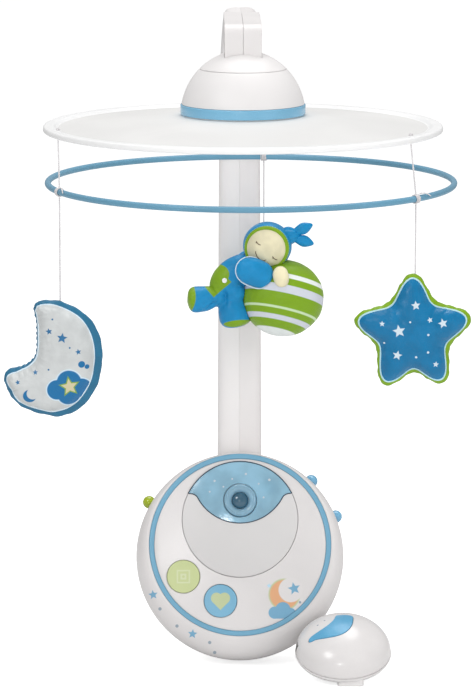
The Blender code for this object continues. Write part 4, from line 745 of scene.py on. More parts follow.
def copy_of(node: str, name: str, look: Plastic, width: float = 0.0005,
            angle: float = 35.0) -> bpy.types.Object:
    """A merged copy of a solid of the frame with rounded edges.

    Args:
        node: the solid's name.
        name: the new piece's name.
        look: its finish.
        width: width of the rounding.
        angle: only edges sharper than this are rounded.

    Returns:
        The piece.
    """
    work = bmesh.new()
    work.from_mesh(FRAME["nodes"][node].data)
    bmesh.ops.remove_doubles(work, verts=work.verts, dist=0.00001)
    bmesh.ops.dissolve_limit(work, angle_limit=math.radians(0.8), verts=work.verts, edges=work.edges)
    mesh = bpy.data.meshes.new(name)
    work.to_mesh(mesh)
    work.free()
    stale = mesh.attributes.get("custom_normal")
    if stale:
        mesh.attributes.remove(stale)
    return soften(piece(name, mesh, look, sharp=angle), width, angle)


def settle(part: bpy.types.Object, body: str, slot: str = "", *nodes: str) -> bpy.types.Object:
    """Let a piece ride on a body and stand for solids of the frame.

    Args:
        part: the piece.
        body: body that it moves with.
        slot: the record's slot for its finish; not used.
        nodes: solids that it replaces.

    Returns:
        The piece.
    """
    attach(part, body)
    if nodes:
        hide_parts(*nodes)
    LOG.info("%s on %s, %d faces", part.name, body, len(part.data.polygons))
    return part


def dress(node: str, name: str, look: Plastic, body: str, slot: str, width: float = 0.0005,
          angle: float = 35.0) -> bpy.types.Object:
    """A copy of a solid of the frame that takes the solid's place on a body."""
    return settle(copy_of(node, name, look, width, angle), body, slot, node)


def seat(part: bpy.types.Object, width: float, place: Matrix, body: str, slot: str, node: str) -> None:
    """Soften a cut piece, move it to its place and let it take a solid's place on a body."""
    soften(part, width, 45.0)
    part.data.transform(place)
    settle(part, body, slot, node)


def repaint(look: Plastic, *nodes: str) -> None:
    """Give a finish to solids of the frame that are seen as they are."""
    for node in nodes:
        FRAME["nodes"][node].material_slots[0].material = look.material()


def arc(centre: Flat, radius: float, start: float, end: float, count: int) -> list[Flat]:
    """Points of an arc from one angle to another, in degrees."""
    angles = [math.radians(start + (end - start) * i / (count - 1)) for i in range(count)]
    return [(centre[0] + radius * math.cos(a), centre[1] + radius * math.sin(a)) for a in angles]


def curve(start: Flat, middle: Flat, end: Flat, t: float) -> Flat:
    """Point at a share of a curve that leans towards its middle point."""
    return tuple((1 - t) ** 2 * a + 2 * t * (1 - t) * b + t * t * c for a, b, c in zip(start, middle, end))


# ---------------------------------------------------------------- repeated details

class Repeat:
    """Geometry Nodes trees for what repeats: screws and small rounded forms on points."""

    @staticmethod
    def tree(name: str, numbers: Sequence[str],
             looks: Sequence[str]) -> tuple[bpy.types.NodeTree, Graph, bpy.types.Node, bpy.types.Node]:
        """A new tree that takes points and gives back geometry.

        Args:
            name: the tree's name.
            numbers: names of its inputs that are numbers.
            looks: names of its inputs that are materials.

        Returns:
            The tree, its graph, its input node and its output node.
        """
        made = bpy.data.node_groups.new(name, "GeometryNodeTree")
        made.interface.new_socket(name="Geometry", in_out="OUTPUT", socket_type="NodeSocketGeometry")
        for kind, labels in (("Geometry", ("Geometry",)), ("Float", numbers), ("Material", looks)):
            for label in labels:
                made.interface.new_socket(name=label, in_out="INPUT", socket_type=f"NodeSocket{kind}")
        graph = Graph(made)
        return made, graph, graph.node("NodeGroupInput"), graph.node("NodeGroupOutput")

    @staticmethod
    def placed(graph: Graph, points: object, shape: object, look: object) -> bpy.types.NodeSocket:
        """Put a shape on points along their aim, make it real and give it its material.

        Args:
            graph: the tree's graph.
            points: socket of the points.
            shape: socket of the shape, along Z.
            look: socket of the material.

        Returns:
            The socket of the result.
        """
        aim = graph.node("GeometryNodeInputNamedAttribute", data_type="FLOAT_VECTOR")
        aim.inputs["Name"].default_value = "aim"
        turn = graph.node("FunctionNodeAlignRotationToVector", axis="Z")
        graph.feed(turn.inputs["Vector"], aim.outputs[0])
        copies = graph.node("GeometryNodeInstanceOnPoints")
        graph.feed(copies.inputs["Points"], points)
        graph.feed(copies.inputs["Instance"], shape)
        graph.feed(copies.inputs["Rotation"], turn.outputs[0])
        real = graph.node("GeometryNodeRealizeInstances")
        graph.feed(real.inputs[0], copies.outputs[0])
        paint = graph.node("GeometryNodeSetMaterial")
        graph.feed(paint.inputs["Geometry"], real.outputs[0])
        graph.feed(paint.inputs["Material"], look)
        return paint.outputs[0]

    @classmethod
    def beads(cls) -> bpy.types.NodeTree:
        """Tree: an oval bead on each point, for stitches, holes and ribs."""
        made = bpy.data.node_groups.get("oval_beads")
        if made:
            return made
        made, graph, source, target = cls.tree("oval_beads", ("Width", "Length"), ("Material",))
        ball = graph.node("GeometryNodeMeshUVSphere")
        set_inputs(ball, {"Segments": 8, "Rings": 6, "Radius": 0.5})
        size = graph.node("ShaderNodeCombineXYZ")
        for axis, label in zip("XYZ", ("Width", "Width", "Length")):
            graph.feed(size.inputs[axis], source.outputs[label])
        form = graph.node("GeometryNodeTransform")
        graph.feed(form.inputs["Geometry"], ball.outputs[0])
        graph.feed(form.inputs["Scale"], size.outputs[0])
        beads = cls.placed(graph, source.outputs[0], form.outputs[0], source.outputs["Material"])
        graph.feed(target.inputs[0], beads)
        return made

    @classmethod
    def screws(cls) -> bpy.types.NodeTree:
        """Tree: a round screw head with a cross recess on each point."""
        made = bpy.data.node_groups.get("cross_screws")
        if made:
            return made
        made, graph, source, target = cls.tree("cross_screws", ("Radius",), ("Head", "Recess"))
        head = graph.node("GeometryNodeMeshCylinder")
        set_inputs(head, {"Vertices": 20, "Depth": 0.0012})
        graph.feed(head.inputs["Radius"], source.outputs["Radius"])
        parts = [(head.outputs["Mesh"], "Head")]
        for turn in (0.0, math.pi / 2):
            bar = graph.node("GeometryNodeMeshCube")
            bar.inputs["Size"].default_value = (0.0036, 0.0007, 0.0013)
            turned = graph.node("GeometryNodeTransform")
            graph.feed(turned.inputs["Geometry"], bar.outputs[0])
            turned.inputs["Rotation"].default_value = (0.0, 0.0, turn)
            parts.append((turned.outputs[0], "Recess"))
        whole = graph.node("GeometryNodeJoinGeometry")
        for shape, look in reversed(parts):
            graph.feed(whole.inputs[0], cls.placed(graph, source.outputs[0], shape, source.outputs[look]))
        graph.feed(target.inputs[0], whole.outputs[0])
        return made

    @staticmethod
    def make(name: str, tree: bpy.types.NodeTree, points: Sequence[Place], aims: Sequence[Place],
             **values: object) -> bpy.types.Object:
        """Run a tree on points and keep its plain mesh.

        Args:
            name: the new piece's name.
            tree: the tree.
            points: where the copies go.
            aims: direction of each copy's own Z axis.
            values: the tree's inputs by name.

        Returns:
            The piece.
        """
        mesh = bpy.data.meshes.new(name)
        mesh.from_pydata([tuple(point) for point in points], [], [])
        aim = mesh.attributes.new("aim", "FLOAT_VECTOR", "POINT")
        for item, way in zip(aim.data, aims):
            item.vector = way
        part = link(name, mesh)
        step = part.modifiers.new("repeat", "NODES")
        step.node_group = tree
        for item in tree.interface.items_tree:
            if item.in_out == "INPUT" and item.name in values:
                step[item.identifier] = values[item.name]
        bake(part)
        part.data.shade_smooth()
        part.data.set_sharp_from_angle(angle=math.radians(40.0))
        return part


def fasten(name: str, points: Sequence[Place], aim: Place, body: str, radius: float = 0.0030) -> None:
    """Steel screws on points of a body.

    Args:
        name: the new piece's name.
        points: middles of the screw heads.
        aim: direction that the heads face.
        body: body that they ride on.
        radius: radius of a head.
    """
    part = Repeat.make(name, Repeat.screws(), points, [aim] * len(points), Radius=radius,
                       Head=STEEL.material(), Recess=DARK.material())
    settle(part, body, "steel")


def strew(name: str, points: Sequence[Place], aims: Sequence[Place], size: Flat,
          look: Plastic | Cloth, body: str, slot: str) -> None:
    """Oval beads on points of a body.

    Args:
        name: the new piece's name.
        points: middles of the beads.
        aims: direction of each bead's length.
        size: width and length of a bead.
        look: its finish.
        body: body that they ride on.
        slot: the record's slot; not used.
    """
    part = Repeat.make(name, Repeat.beads(), points, aims, Width=size[0], Length=size[1],
                       Material=look.material())
    settle(part, body, slot)


# ---------------------------------------------------------------- studio

@dataclass
class Studio:
    """Camera at the photograph's angle, pale floor and soft light."""

    distance: float = 3.8
    height: float = 0.922
    tilt: float = 9.83
    yaw: float = -0.65
    shift: float = -0.0057
    focal_pixels: float = 4028.0
    image_height: float = 687.0
    floor: float = -0.1082

    def build(self) -> None:
        """Make the camera, the floor and the lights."""
        turn = math.radians(self.yaw)
        lens = bpy.data.cameras.new("camera")
        lens.sensor_width = 36.0
        lens.lens = self.focal_pixels * 36.0 / self.image_height
        lens.clip_end = 100.0
        camera = link("camera", lens)
        camera.location = (math.sin(turn) * self.distance + self.shift * math.cos(turn),
                           AXIS_Y - self.distance * math.cos(turn), self.height)
        camera.rotation_euler = (math.pi / 2 - math.radians(self.tilt), 0.0, turn)
        bpy.context.scene.camera = camera
        bpy.context.scene.view_settings.view_transform = "Standard"
        self.light_room()
        self.lay_floor()

    def light_room(self) -> None:
        """White surroundings and five soft lamps; the broad ones leave no reflection."""
        world = bpy.data.worlds.new("room")
        world.use_nodes = True
        set_inputs(world.node_tree.nodes["Background"], {"Color": (1.0, 1.0, 1.0, 1.0), "Strength": 0.45})
        bpy.context.scene.world = world
        target = Vector((0.0, -0.2, 0.2))
        lamps = (("key", (-1.9, -2.6, 2.3), 1.2, 26.0, True), ("fill", (2.2, -2.4, 0.9), 2.0, 28.0, False),
                 ("front", (-0.3, -5.2, 0.6), 2.0, 37.0, False),
                 ("spark", (-0.62, -4.6, 1.02), 0.45, 9.0, True), ("top", (0.1, 0.3, 2.8), 2.2, 46.0, True))
        for name, place, size, power, shines in lamps:
            lamp = bpy.data.lights.new(name, "AREA")
            lamp.shape, lamp.size, lamp.energy = "DISK", size, power
            held = link(name, lamp)
            held.location = place
            held.visible_glossy = shines
            held.rotation_euler = (target - Vector(place)).to_track_quat("-Z", "Y").to_euler()

    def lay_floor(self) -> None:
        """Wide pale floor under the remote."""
        wide = 40.0
        corners = [(x, y, self.floor) for x, y in box(-wide, -wide, wide, wide)]
        mesh = bpy.data.meshes.new("floor")
        mesh.from_pydata(corners, [], [(0, 1, 2, 3)])
        look = bpy.data.materials.new("pale_floor")
        look.use_nodes = True
        shader = look.node_tree.nodes["Principled BSDF"]
        set_inputs(shader, {"Base Color": (0.78, 0.78, 0.78, 1.0), "Roughness": 0.9,
                            "Specular IOR Level": 0.0, "Emission Color": (1.0, 1.0, 1.0, 1.0)})
        graph = Graph(look.node_tree)
        seen = graph.node("ShaderNodeLightPath").outputs["Is Camera Ray"]
        graph.feed(shader.inputs["Emission Strength"], graph.math("MULTIPLY", seen, 0.68))
        mesh.materials.append(look)
        floor = link("floor", mesh)


# ---------------------------------------------------------------- carousel

@dataclass
class Hanger:
    """Where one toy's strings run: hole in the disc, knot on the ring, top of the toy."""

    toy: str
    hole_angle: float
    ring_angle: float
    toy_top: float
    orbit: float = 0.180
    reach: float = 0.0033

    @property
    def knot(self) -> Vector:
        """Middle of the ring's tube where the toy hangs."""
        turn = math.radians(self.ring_angle)
        across, deep = RING_ORBIT * math.cos(turn), RING_ORBIT * math.sin(turn)
        return Vector((RING_SHIFT + across, AXIS_Y + deep, RING_Z))

    @property
    def hole(self) -> Vector:
        """Underside of the string's hole in the disc's lip."""
        turn = math.radians(self.hole_angle)
        return Vector((self.orbit * math.cos(turn), AXIS_Y + self.orbit * math.sin(turn), DISC_Z - GAP))


MOON_LINE = Hanger("moon", 195.0, 201.3, RING_Z - 0.1565 + math.sqrt(0.055 ** 2 - 0.0123 ** 2))
STAR_LINE = Hanger("star", 329.0, 321.1, RING_Z - 0.0690 - 0.0025)
DOLL_LINE = Hanger("doll", 85.0, 85.35, RING_Z - 0.0900 + math.sqrt(0.0241 ** 2 - 0.0037 ** 2))
LINES = (MOON_LINE, STAR_LINE, DOLL_LINE)


@dataclass
class Strings:
    """Twisted white strings with their knots on the disc's lip and on the ring."""

    radius: float = 0.0008
    lip: float = 0.0058
    lower_start: float = 1.2
    lay: float = 0.0042
    step: float = 0.0004

    def build(self) -> None:
        """Make the strings of all three toys."""
        for line in LINES:
            up = Vector((0.0, 0.0, line.reach))
            end = Vector((*line.knot.xy, line.toy_top + GAP))
            self.run(line.toy, "upper", line.hole, line.knot + up, "carousel")
            self.run(line.toy, "lower", line.knot - up * self.lower_start, end, f"{line.toy}_hanger")
            self.knots(line)

    def run(self, toy: str, half: str, start: Vector, end: Vector, body: str) -> None:
        """One taut string.

        Args:
            toy: the toy that hangs on it.
            half: upper or lower.
            start: upper end.
            end: lower end.
            body: body that it rides on.
        """
        length = (end - start).length
        count = max(40, int(length / self.step))
        path = [start.lerp(end, i / count) for i in range(count + 1)]
        mesh = tube(path, self.radius, 10, plies=2, lay=self.lay)
        part = piece(f"{toy}_line_{half}", mesh, CORD, sharp=80.0)
        settle(part, body, "cord", f"{toy}_{half}_string")

    def knots(self, line: Hanger) -> None:
        """Knot over the disc's lip, turns round the ring's tube, and a short tail.

        Args:
            line: the toy's strings.
        """
        top = line.hole + Vector((0.0, 0.0, self.lip + 0.0010))
        wide, rise, thin = 0.0013, 0.0007, self.radius * 0.9
        path = []
        for i in range(121):
            a = math.tau * i / 60
            path.append(top + Vector((wide * math.cos(a), wide * math.sin(a), rise * math.sin(1.5 * a))))
        parts = [tube(path, thin, 8, taper=True)]
        out = Vector((line.knot.x - RING_SHIFT, line.knot.y - AXIS_Y, 0.0)).normalized()
        along = Vector((-out.y, out.x, 0.0))
        wrap, laps, steps = RING_TUBE + thin, 4, 28
        path = []
        for i in range(laps * steps + 1):
            a = math.tau * i / steps
            slide = along * (i / (laps * steps) - 0.5) * laps * 2 * self.radius * 0.95
            path.append(line.knot + slide + (out * math.sin(a) + Vector((0.0, 0.0, math.cos(a)))) * wrap)
        parts.append(tube(path, thin, 8, taper=True))
        loose = line.knot + along * 0.0035 + Vector((0.0, 0.0, RING_TUBE + self.radius))
        tail = [loose + along * s * 0.016 + out * 0.0035 * s + Vector((0.0, 0.0, 0.004 * s * (1.4 - 2.2 * s)))
                for s in (i / 24 for i in range(25))]
        parts.append(tube(tail, self.radius * 0.8, 8, taper=True))
        part = piece(f"{line.toy}_line_knots", joined(parts), CORD, sharp=80.0)
        settle(part, "carousel", "cord")


def joined(meshes: Iterable[bpy.types.Mesh]) -> bpy.types.Mesh:
    """Several meshes as one."""
    work = bmesh.new()
    for mesh in meshes:
        work.from_mesh(mesh)
    made = bpy.data.meshes.new("joined")
    work.to_mesh(made)
    work.free()
    return made


@dataclass
class Canopy:
    """Matt disc with its rolled white lip, the hub nut under it and the blue ring."""

    radius: float = 0.190
    hub_radius: float = 0.060
    hub_z: float = 0.0123
    thick: float = 0.0025
    lip_width: float = 0.0135
    lip_height: float = 0.0058
    bore: float = 0.0043
    ring_drop: float = 0.0495
    string_hole: float = 0.0014
    hole_span: Flat = (0.46, 0.49)

    def build(self) -> None:
        """Make the disc, its lip, ribs and nut, and the ring."""
        foot = self.thick / 5
        lip = self.radius - self.lip_width
        soft = self.lip_width / 4
        top = self.hub_z + self.thick
        dish = [(self.bore, top), (self.hub_radius, top), (lip, self.thick + foot),
                (lip + soft * 0.9, self.lip_height), (self.radius - soft * 0.2, self.lip_height),
                (self.radius, 0.0), (lip + soft, 0.0), (lip - soft, foot), (self.hub_radius, self.hub_z),
                (self.bore, self.hub_z)]
        profile = fillet(dish, 0.0024, 6)
        disc = piece("canopy_dish", lathe(profile, 192, True), DISC_GREY, LIP_WHITE, place=CAROUSEL)
        for face in disc.data.polygons:
            away = math.hypot(face.center.x, face.center.y - AXIS_Y)
            face.material_index = int(away > lip - soft * 0.4)
        cut(disc, *(drum(self.string_hole, *self.hole_span, 16, tuple(line.hole.xy)) for line in LINES))
        soften(disc, 0.0)
        settle(disc, "carousel", "matt_white", "canopy_disc")
        disc.visible_shadow = disc.visible_diffuse = False  # frosted: light comes through it
        self.ribs()
        dress("hub_nut", "hub_cap_nut", WHITE, "carousel", "white_plastic", 0.0008)
        bead = [(RING_ORBIT + RING_TUBE * math.cos(a), RING_TUBE * math.sin(a) - self.ring_drop)
                for a in turns(20)]
        ring = piece("blue_hoop", lathe(bead, 192, True, (RING_SHIFT, 0.0)), RING_BLUE, place=CAROUSEL)
        settle(ring, "carousel", "sky_blue", "hanging_ring")

    def ribs(self) -> None:
        """Fine moulded ribs under the dish, from the hub out to the lip."""
        count, rows = 24, 9
        start, end = self.hub_radius * 1.08, self.radius - self.lip_width * 1.6
        points, aims = [], []
        for i in range(count):
            a = math.tau * (i + 0.5) / count
            for j in range(rows):
                away = start + (end - start) * ((j + 0.5) / rows)
                slope = (away - self.hub_radius) / (self.radius - self.lip_width - self.hub_radius)
                z = self.hub_z * (1.0 - slope) + self.thick / 5 * slope
                points.append(CAROUSEL @ Vector((away * math.cos(a), away * math.sin(a), z)))
                aims.append((math.cos(a), math.sin(a), -0.1))
        strew("dish_ribs", points, aims, (0.0012, 0.0118), DISC_GREY, "carousel", "matt_white")


@dataclass
class Dome:
    """Motor dome: cap, shell and blue band, with the neck over it and the drive inside."""

    radius: float = 0.0594
    rise: float = 0.0622
    centre: float = 0.014
    wall: float = 0.0025
    seam_radius: float = 0.0413
    band_low: float = 0.0158
    band_height: float = 0.0095
    band_thick: float = 0.0034
    neck_width: float = 0.0352
    neck_front: float = 0.0172
    neck_span: Flat = (0.46, 0.60)

    def point(self, angle: float, inset: float = 0.0) -> Flat:
        """Point of the dome's section at an angle from the axis."""
        return ((self.radius - inset) * math.sin(angle), self.centre + (self.rise - inset) * math.cos(angle))

    def angle_at(self, height: float, inset: float = 0.0) -> float:
        """Angle from the axis at which the section has a height."""
        return math.acos((height - self.centre) / (self.rise - inset))

    def bow(self, start: float, end: float, count: int, inset: float = 0.0) -> list[Flat]:
        """Points of the section between two angles."""
        return [self.point(start + (end - start) * i / (count - 1), inset) for i in range(count)]

    def round_front(self, half: bpy.types.Object, radius: float = 0.0095) -> None:
        """Round the neck's front over into its top.

        Args:
            half: one half of the neck.
            radius: radius of the rounding.
        """
        front = min(vert.co.y for vert in half.data.vertices)
        top = max(vert.co.z for vert in half.data.vertices)
        centre = Vector((front + radius, top - radius))
        work = bmesh.new()
        work.from_mesh(half.data)
        steps = 14
        for i in range(steps):
            share = radius * (1.0 - math.cos(math.pi / 2 * (i + 1) / steps))
            planes = (((0.0, front + share, 0.0), (0.0, 1.0, 0.0)),
                      ((0.0, 0.0, top - share), (0.0, 0.0, 1.0)))
            for spot, way in planes:
                everything = work.verts[:] + work.edges[:] + work.faces[:]
                bmesh.ops.bisect_plane(work, geom=everything, plane_co=spot, plane_no=way, dist=0.000005)
        for vert in work.verts:
            away = Vector((min(0.0, vert.co.y - centre.x), max(0.0, vert.co.z - centre.y)))
            if away.x < 0.0 and away.y > 0.0 and away.length > radius:
                away *= radius / away.length
                vert.co.y, vert.co.z = centre.x + away.x, centre.y + away.y
        work.to_mesh(half.data)
        work.free()
        soften(half, 0.0)

    def build(self) -> None:
        """Make the dome, the neck and the drive's finishes."""
        seam = self.point(math.asin(self.seam_radius / self.radius))[1]
        top = math.asin(self.neck_front / 2 / self.radius)
        edge = self.angle_at(seam + GAP / 2)
        lip = 0.012
        profile = self.bow(top, edge - lip, 20)
        profile += [self.point(edge - lip / 3, 0.0001), self.point(edge, 0.0005)]
        profile += self.bow(self.angle_at(seam + GAP / 2, self.wall), top, 12, self.wall)
        cap = piece("dome_crown", lathe(profile, 128, True), WHITE, place=CAROUSEL)
        x, y = self.neck_width / 2 + GAP, self.neck_front + GAP
        cut(cap, prism(box(-x, AXIS_Y - y, x, AXIS_Y + y), *self.neck_span))
        settle(soften(cap, 0.0), "housing", "white_plastic", "dome_cap")
        band_top = self.band_low + self.band_height + GAP
        foot = self.radius - self.band_thick - GAP
        inside = foot - self.wall
        start = self.angle_at(seam - GAP / 2)
        profile = [self.point(start, 0.0005), self.point(start + lip / 3, 0.0001)]
        profile += self.bow(start + lip, self.angle_at(band_top), 20)
        profile += [(foot, band_top), (foot, self.band_low), (inside, self.band_low), (inside, band_top)]
        first, last = (self.angle_at(z, self.wall) for z in (band_top + self.wall, seam - GAP / 2))
        profile += self.bow(first, last, 12, self.wall)
        shell = piece("dome_skirt", lathe(profile, 128, True), WHITE, place=CAROUSEL)
        settle(soften(shell, 0.0), "housing", "white_plastic", "dome_shell")
        inner = foot + GAP
        outer = inner + self.band_thick
        high = self.band_low + self.band_height
        profile = fillet(box(inner, high, outer, self.band_low), 0.0012)
        band = piece("dome_belt", lathe(profile, 160, True), BAND_BLUE, place=CAROUSEL)
        settle(band, "housing", "clear_blue", "dome_band")
        for side in ("left", "right"):
            half = copy_of(f"neck_{side}_shell", f"neck_{side}_half", NECK_WHITE, 0.0007)
            self.round_front(half)
            settle(half, "housing", "white_plastic", f"neck_{side}_shell")
        repaint(ACETAL, "gear_plate", "motor_pinion", "output_gear")
        repaint(STEEL, "drive_motor", "drive_shaft")


@dataclass
class Cane:
    """Post and arm: two half shells of a cane with a seam down the middle."""

    y: float = -0.022
    width: float = 0.046
    top_width: float = 0.041
    depth: float = 0.030
    foot: float = 0.050
    roundness: float = 3.4
    arm_width: float = 0.031
    arm_height: float = 0.557
    bend: float = 0.072
    arm_end: float = AXIS_Y + 0.119 - 0.030

    def stations(self) -> list[tuple[float, float, float, float]]:
        """Path from the foot to the arm's end: (y, z, width, bend angle)."""
        low = self.arm_height - self.bend
        path = []
        for i in range(13):
            share = i / 12
            path.append((self.y, self.foot + (low - self.foot) * share,
                         self.width + (self.top_width - self.width) * share, 0.0))
        steps = 24
        for i in range(1, steps + 1):
            angle = math.pi / 2 * i / steps
            path.append((self.y - self.bend * (1.0 - math.cos(angle)), low + self.bend * math.sin(angle),
                         self.top_width + (self.arm_width - self.top_width) * i / steps, angle))
        path.append((self.arm_end, self.arm_height, self.arm_width, math.pi / 2))
        return path

    def section(self, station: tuple[float, float, float, float], side: int) -> list[Place]:
        """Points round one half of a station.

        Args:
            station: place, width and bend.
            side: -1 for the left half, 1 for the right half.

        Returns:
            The points from the back of the seam round to its front.
        """
        y, z, width, bend = station
        half, deep = width / 2, width * self.depth / self.width / 2
        points = []
        count = 41
        ease, gap = 0.0003, 0.00005
        for i in range(count):
            angle = math.pi * (i / (count - 1) - 0.5)
            across = abs(math.cos(angle)) ** (2 / self.roundness)
            out = math.copysign(abs(math.sin(angle)) ** (2 / self.roundness), angle) * deep
            x = gap + across * (half - gap)
            drop = ease * max(0.0, 1.0 - x / 0.0015) ** 2
            out -= math.copysign(drop, out)
            points.append((side * x, y + out * math.cos(bend), z + out * math.sin(bend)))
        return points

    def build(self) -> None:
        """Make both halves and the screws that hold them."""
        # each half gets its own copy of the white: the left painted lighter, the right darker, as painted
        # light and shade
        for side, sign, look in (("left", -1, POST_LEFT_PAINTED_LIGHT), ("right", 1, POST_RIGHT_PAINTED_SHADE)):
            mesh = skin([self.section(station, sign) for station in self.stations()])
            half = soften(piece(f"cane_{side}_half", mesh, look), 0.0)
            settle(half, "housing", "white_plastic", f"post_{side}_shell")
        points = []
        for z in (0.12, 0.30, 0.46):
            share = (z - self.foot) / (self.arm_height - self.bend - self.foot)
            deep = (self.width + (self.top_width - self.width) * share) * self.depth / self.width / 2
            points.append((0.0105, self.y + deep * 0.985, z))
        fasten("cane_screws", points, (0.0, 1.0, 0.0), "housing")


# ---------------------------------------------------------------- panel

PANEL_BLUE = (0.17, 0.38, 0.55)
PALE_BLUE = (0.42, 0.66, 0.82)
PEACH = (0.72, 0.38, 0.20)
LEAF = (0.50, 0.56, 0.32)
DOT_GREY = (0.30, 0.36, 0.42)
GROUND = (0.70, 0.675, 0.67)
LIME = (0.54, 0.60, 0.30)
PALE_LIME = (0.61, 0.66, 0.42)
SPECK = (0.9, 0.95, 1.0)
GREEN_BUTTON_AT = (-0.0580, -0.0205)
BLUE_BUTTON_AT = (-0.0202, -0.0453)

PANEL_PRINT = Printing(PANEL_ORIGIN, PANEL_LEAN, (
    star(-89, -39, 5.0, PANEL_BLUE, 8), star(-48.8, -79, 5.0, PANEL_BLUE, -6),
    dot(-82, -53.4, 1.7, DOT_GREY), dot(-64.7, -70.9, 1.7, DOT_GREY),
    dot(-31.3, -87.8, 1.7, DOT_GREY), dot(-26.2, -98.1, 1.7, DOT_GREY),
    dot(45, -39, 16.2, LEAF), dot(45, -39, 14.8, PEACH), dot(51.5, -34.5, 12.4, GROUND),
    star(55, -33, 6.6, PANEL_BLUE, 12),
    dot(35, -57.5, 6.2, PANEL_BLUE), dot(43.5, -54.5, 7.8, PANEL_BLUE), dot(51.5, -58, 5.2, PANEL_BLUE),
    block(43, -60, 9.6, PANEL_BLUE, 0.38), star(29.5, -30, 2.6, PALE_BLUE), dot(61, -47, 1.3, DOT_GREY)))
GREEN_BUTTON_PRINT = Printing(PANEL_ORIGIN, PANEL_LEAN, (
    block(-58.0, -20.5, 6.8, PALE_LIME), block(-58.0, -20.5, 5.4, LIME),
    block(-58.0, -20.5, 3.0, PALE_LIME), dot(-58.0, -20.5, 1.4, LIME)))
BLUE_BUTTON_PRINT = Printing(PANEL_ORIGIN, PANEL_LEAN, (
    dot(-24.3, -42.6, 5.7, LEAF), dot(-16.1, -42.6, 5.7, LEAF), block(-20.2, -46.6, 5.75, LEAF, 1.0, 45)))
WINDOW_PRINT = Printing(PANEL_ORIGIN, PANEL_LEAN, tuple(dot(x, y, size, SPECK) for x, y, size in (
    (-26, 77, 1.1), (-17, 71, 0.9), (6, 84, 1.1), (19, 74, 0.9), (30, 78, 1.3), (24, 60, 1.0),
    (-31, 66, 0.9), (-8, 79, 0.9))))
PANEL_WHITE = Plastic("panel_face_plastic", GROUND, 0.32, coat=0.15, print=PANEL_PRINT)
PALE_GREEN = Plastic("pale_green_plastic", LIME, 0.40, 0.03, print=GREEN_BUTTON_PRINT)
BUTTON_BLUE = Plastic("button_blue_plastic", (0.19, 0.43, 0.60), 0.36, 0.03, print=BLUE_BUTTON_PRINT)
WINDOW_BLUE = Plastic("window_blue_plastic", (0.42, 0.72, 0.90), 0.05, 0.10, 40.0, clear=0.45, coat=0.6,
                      print=WINDOW_PRINT)


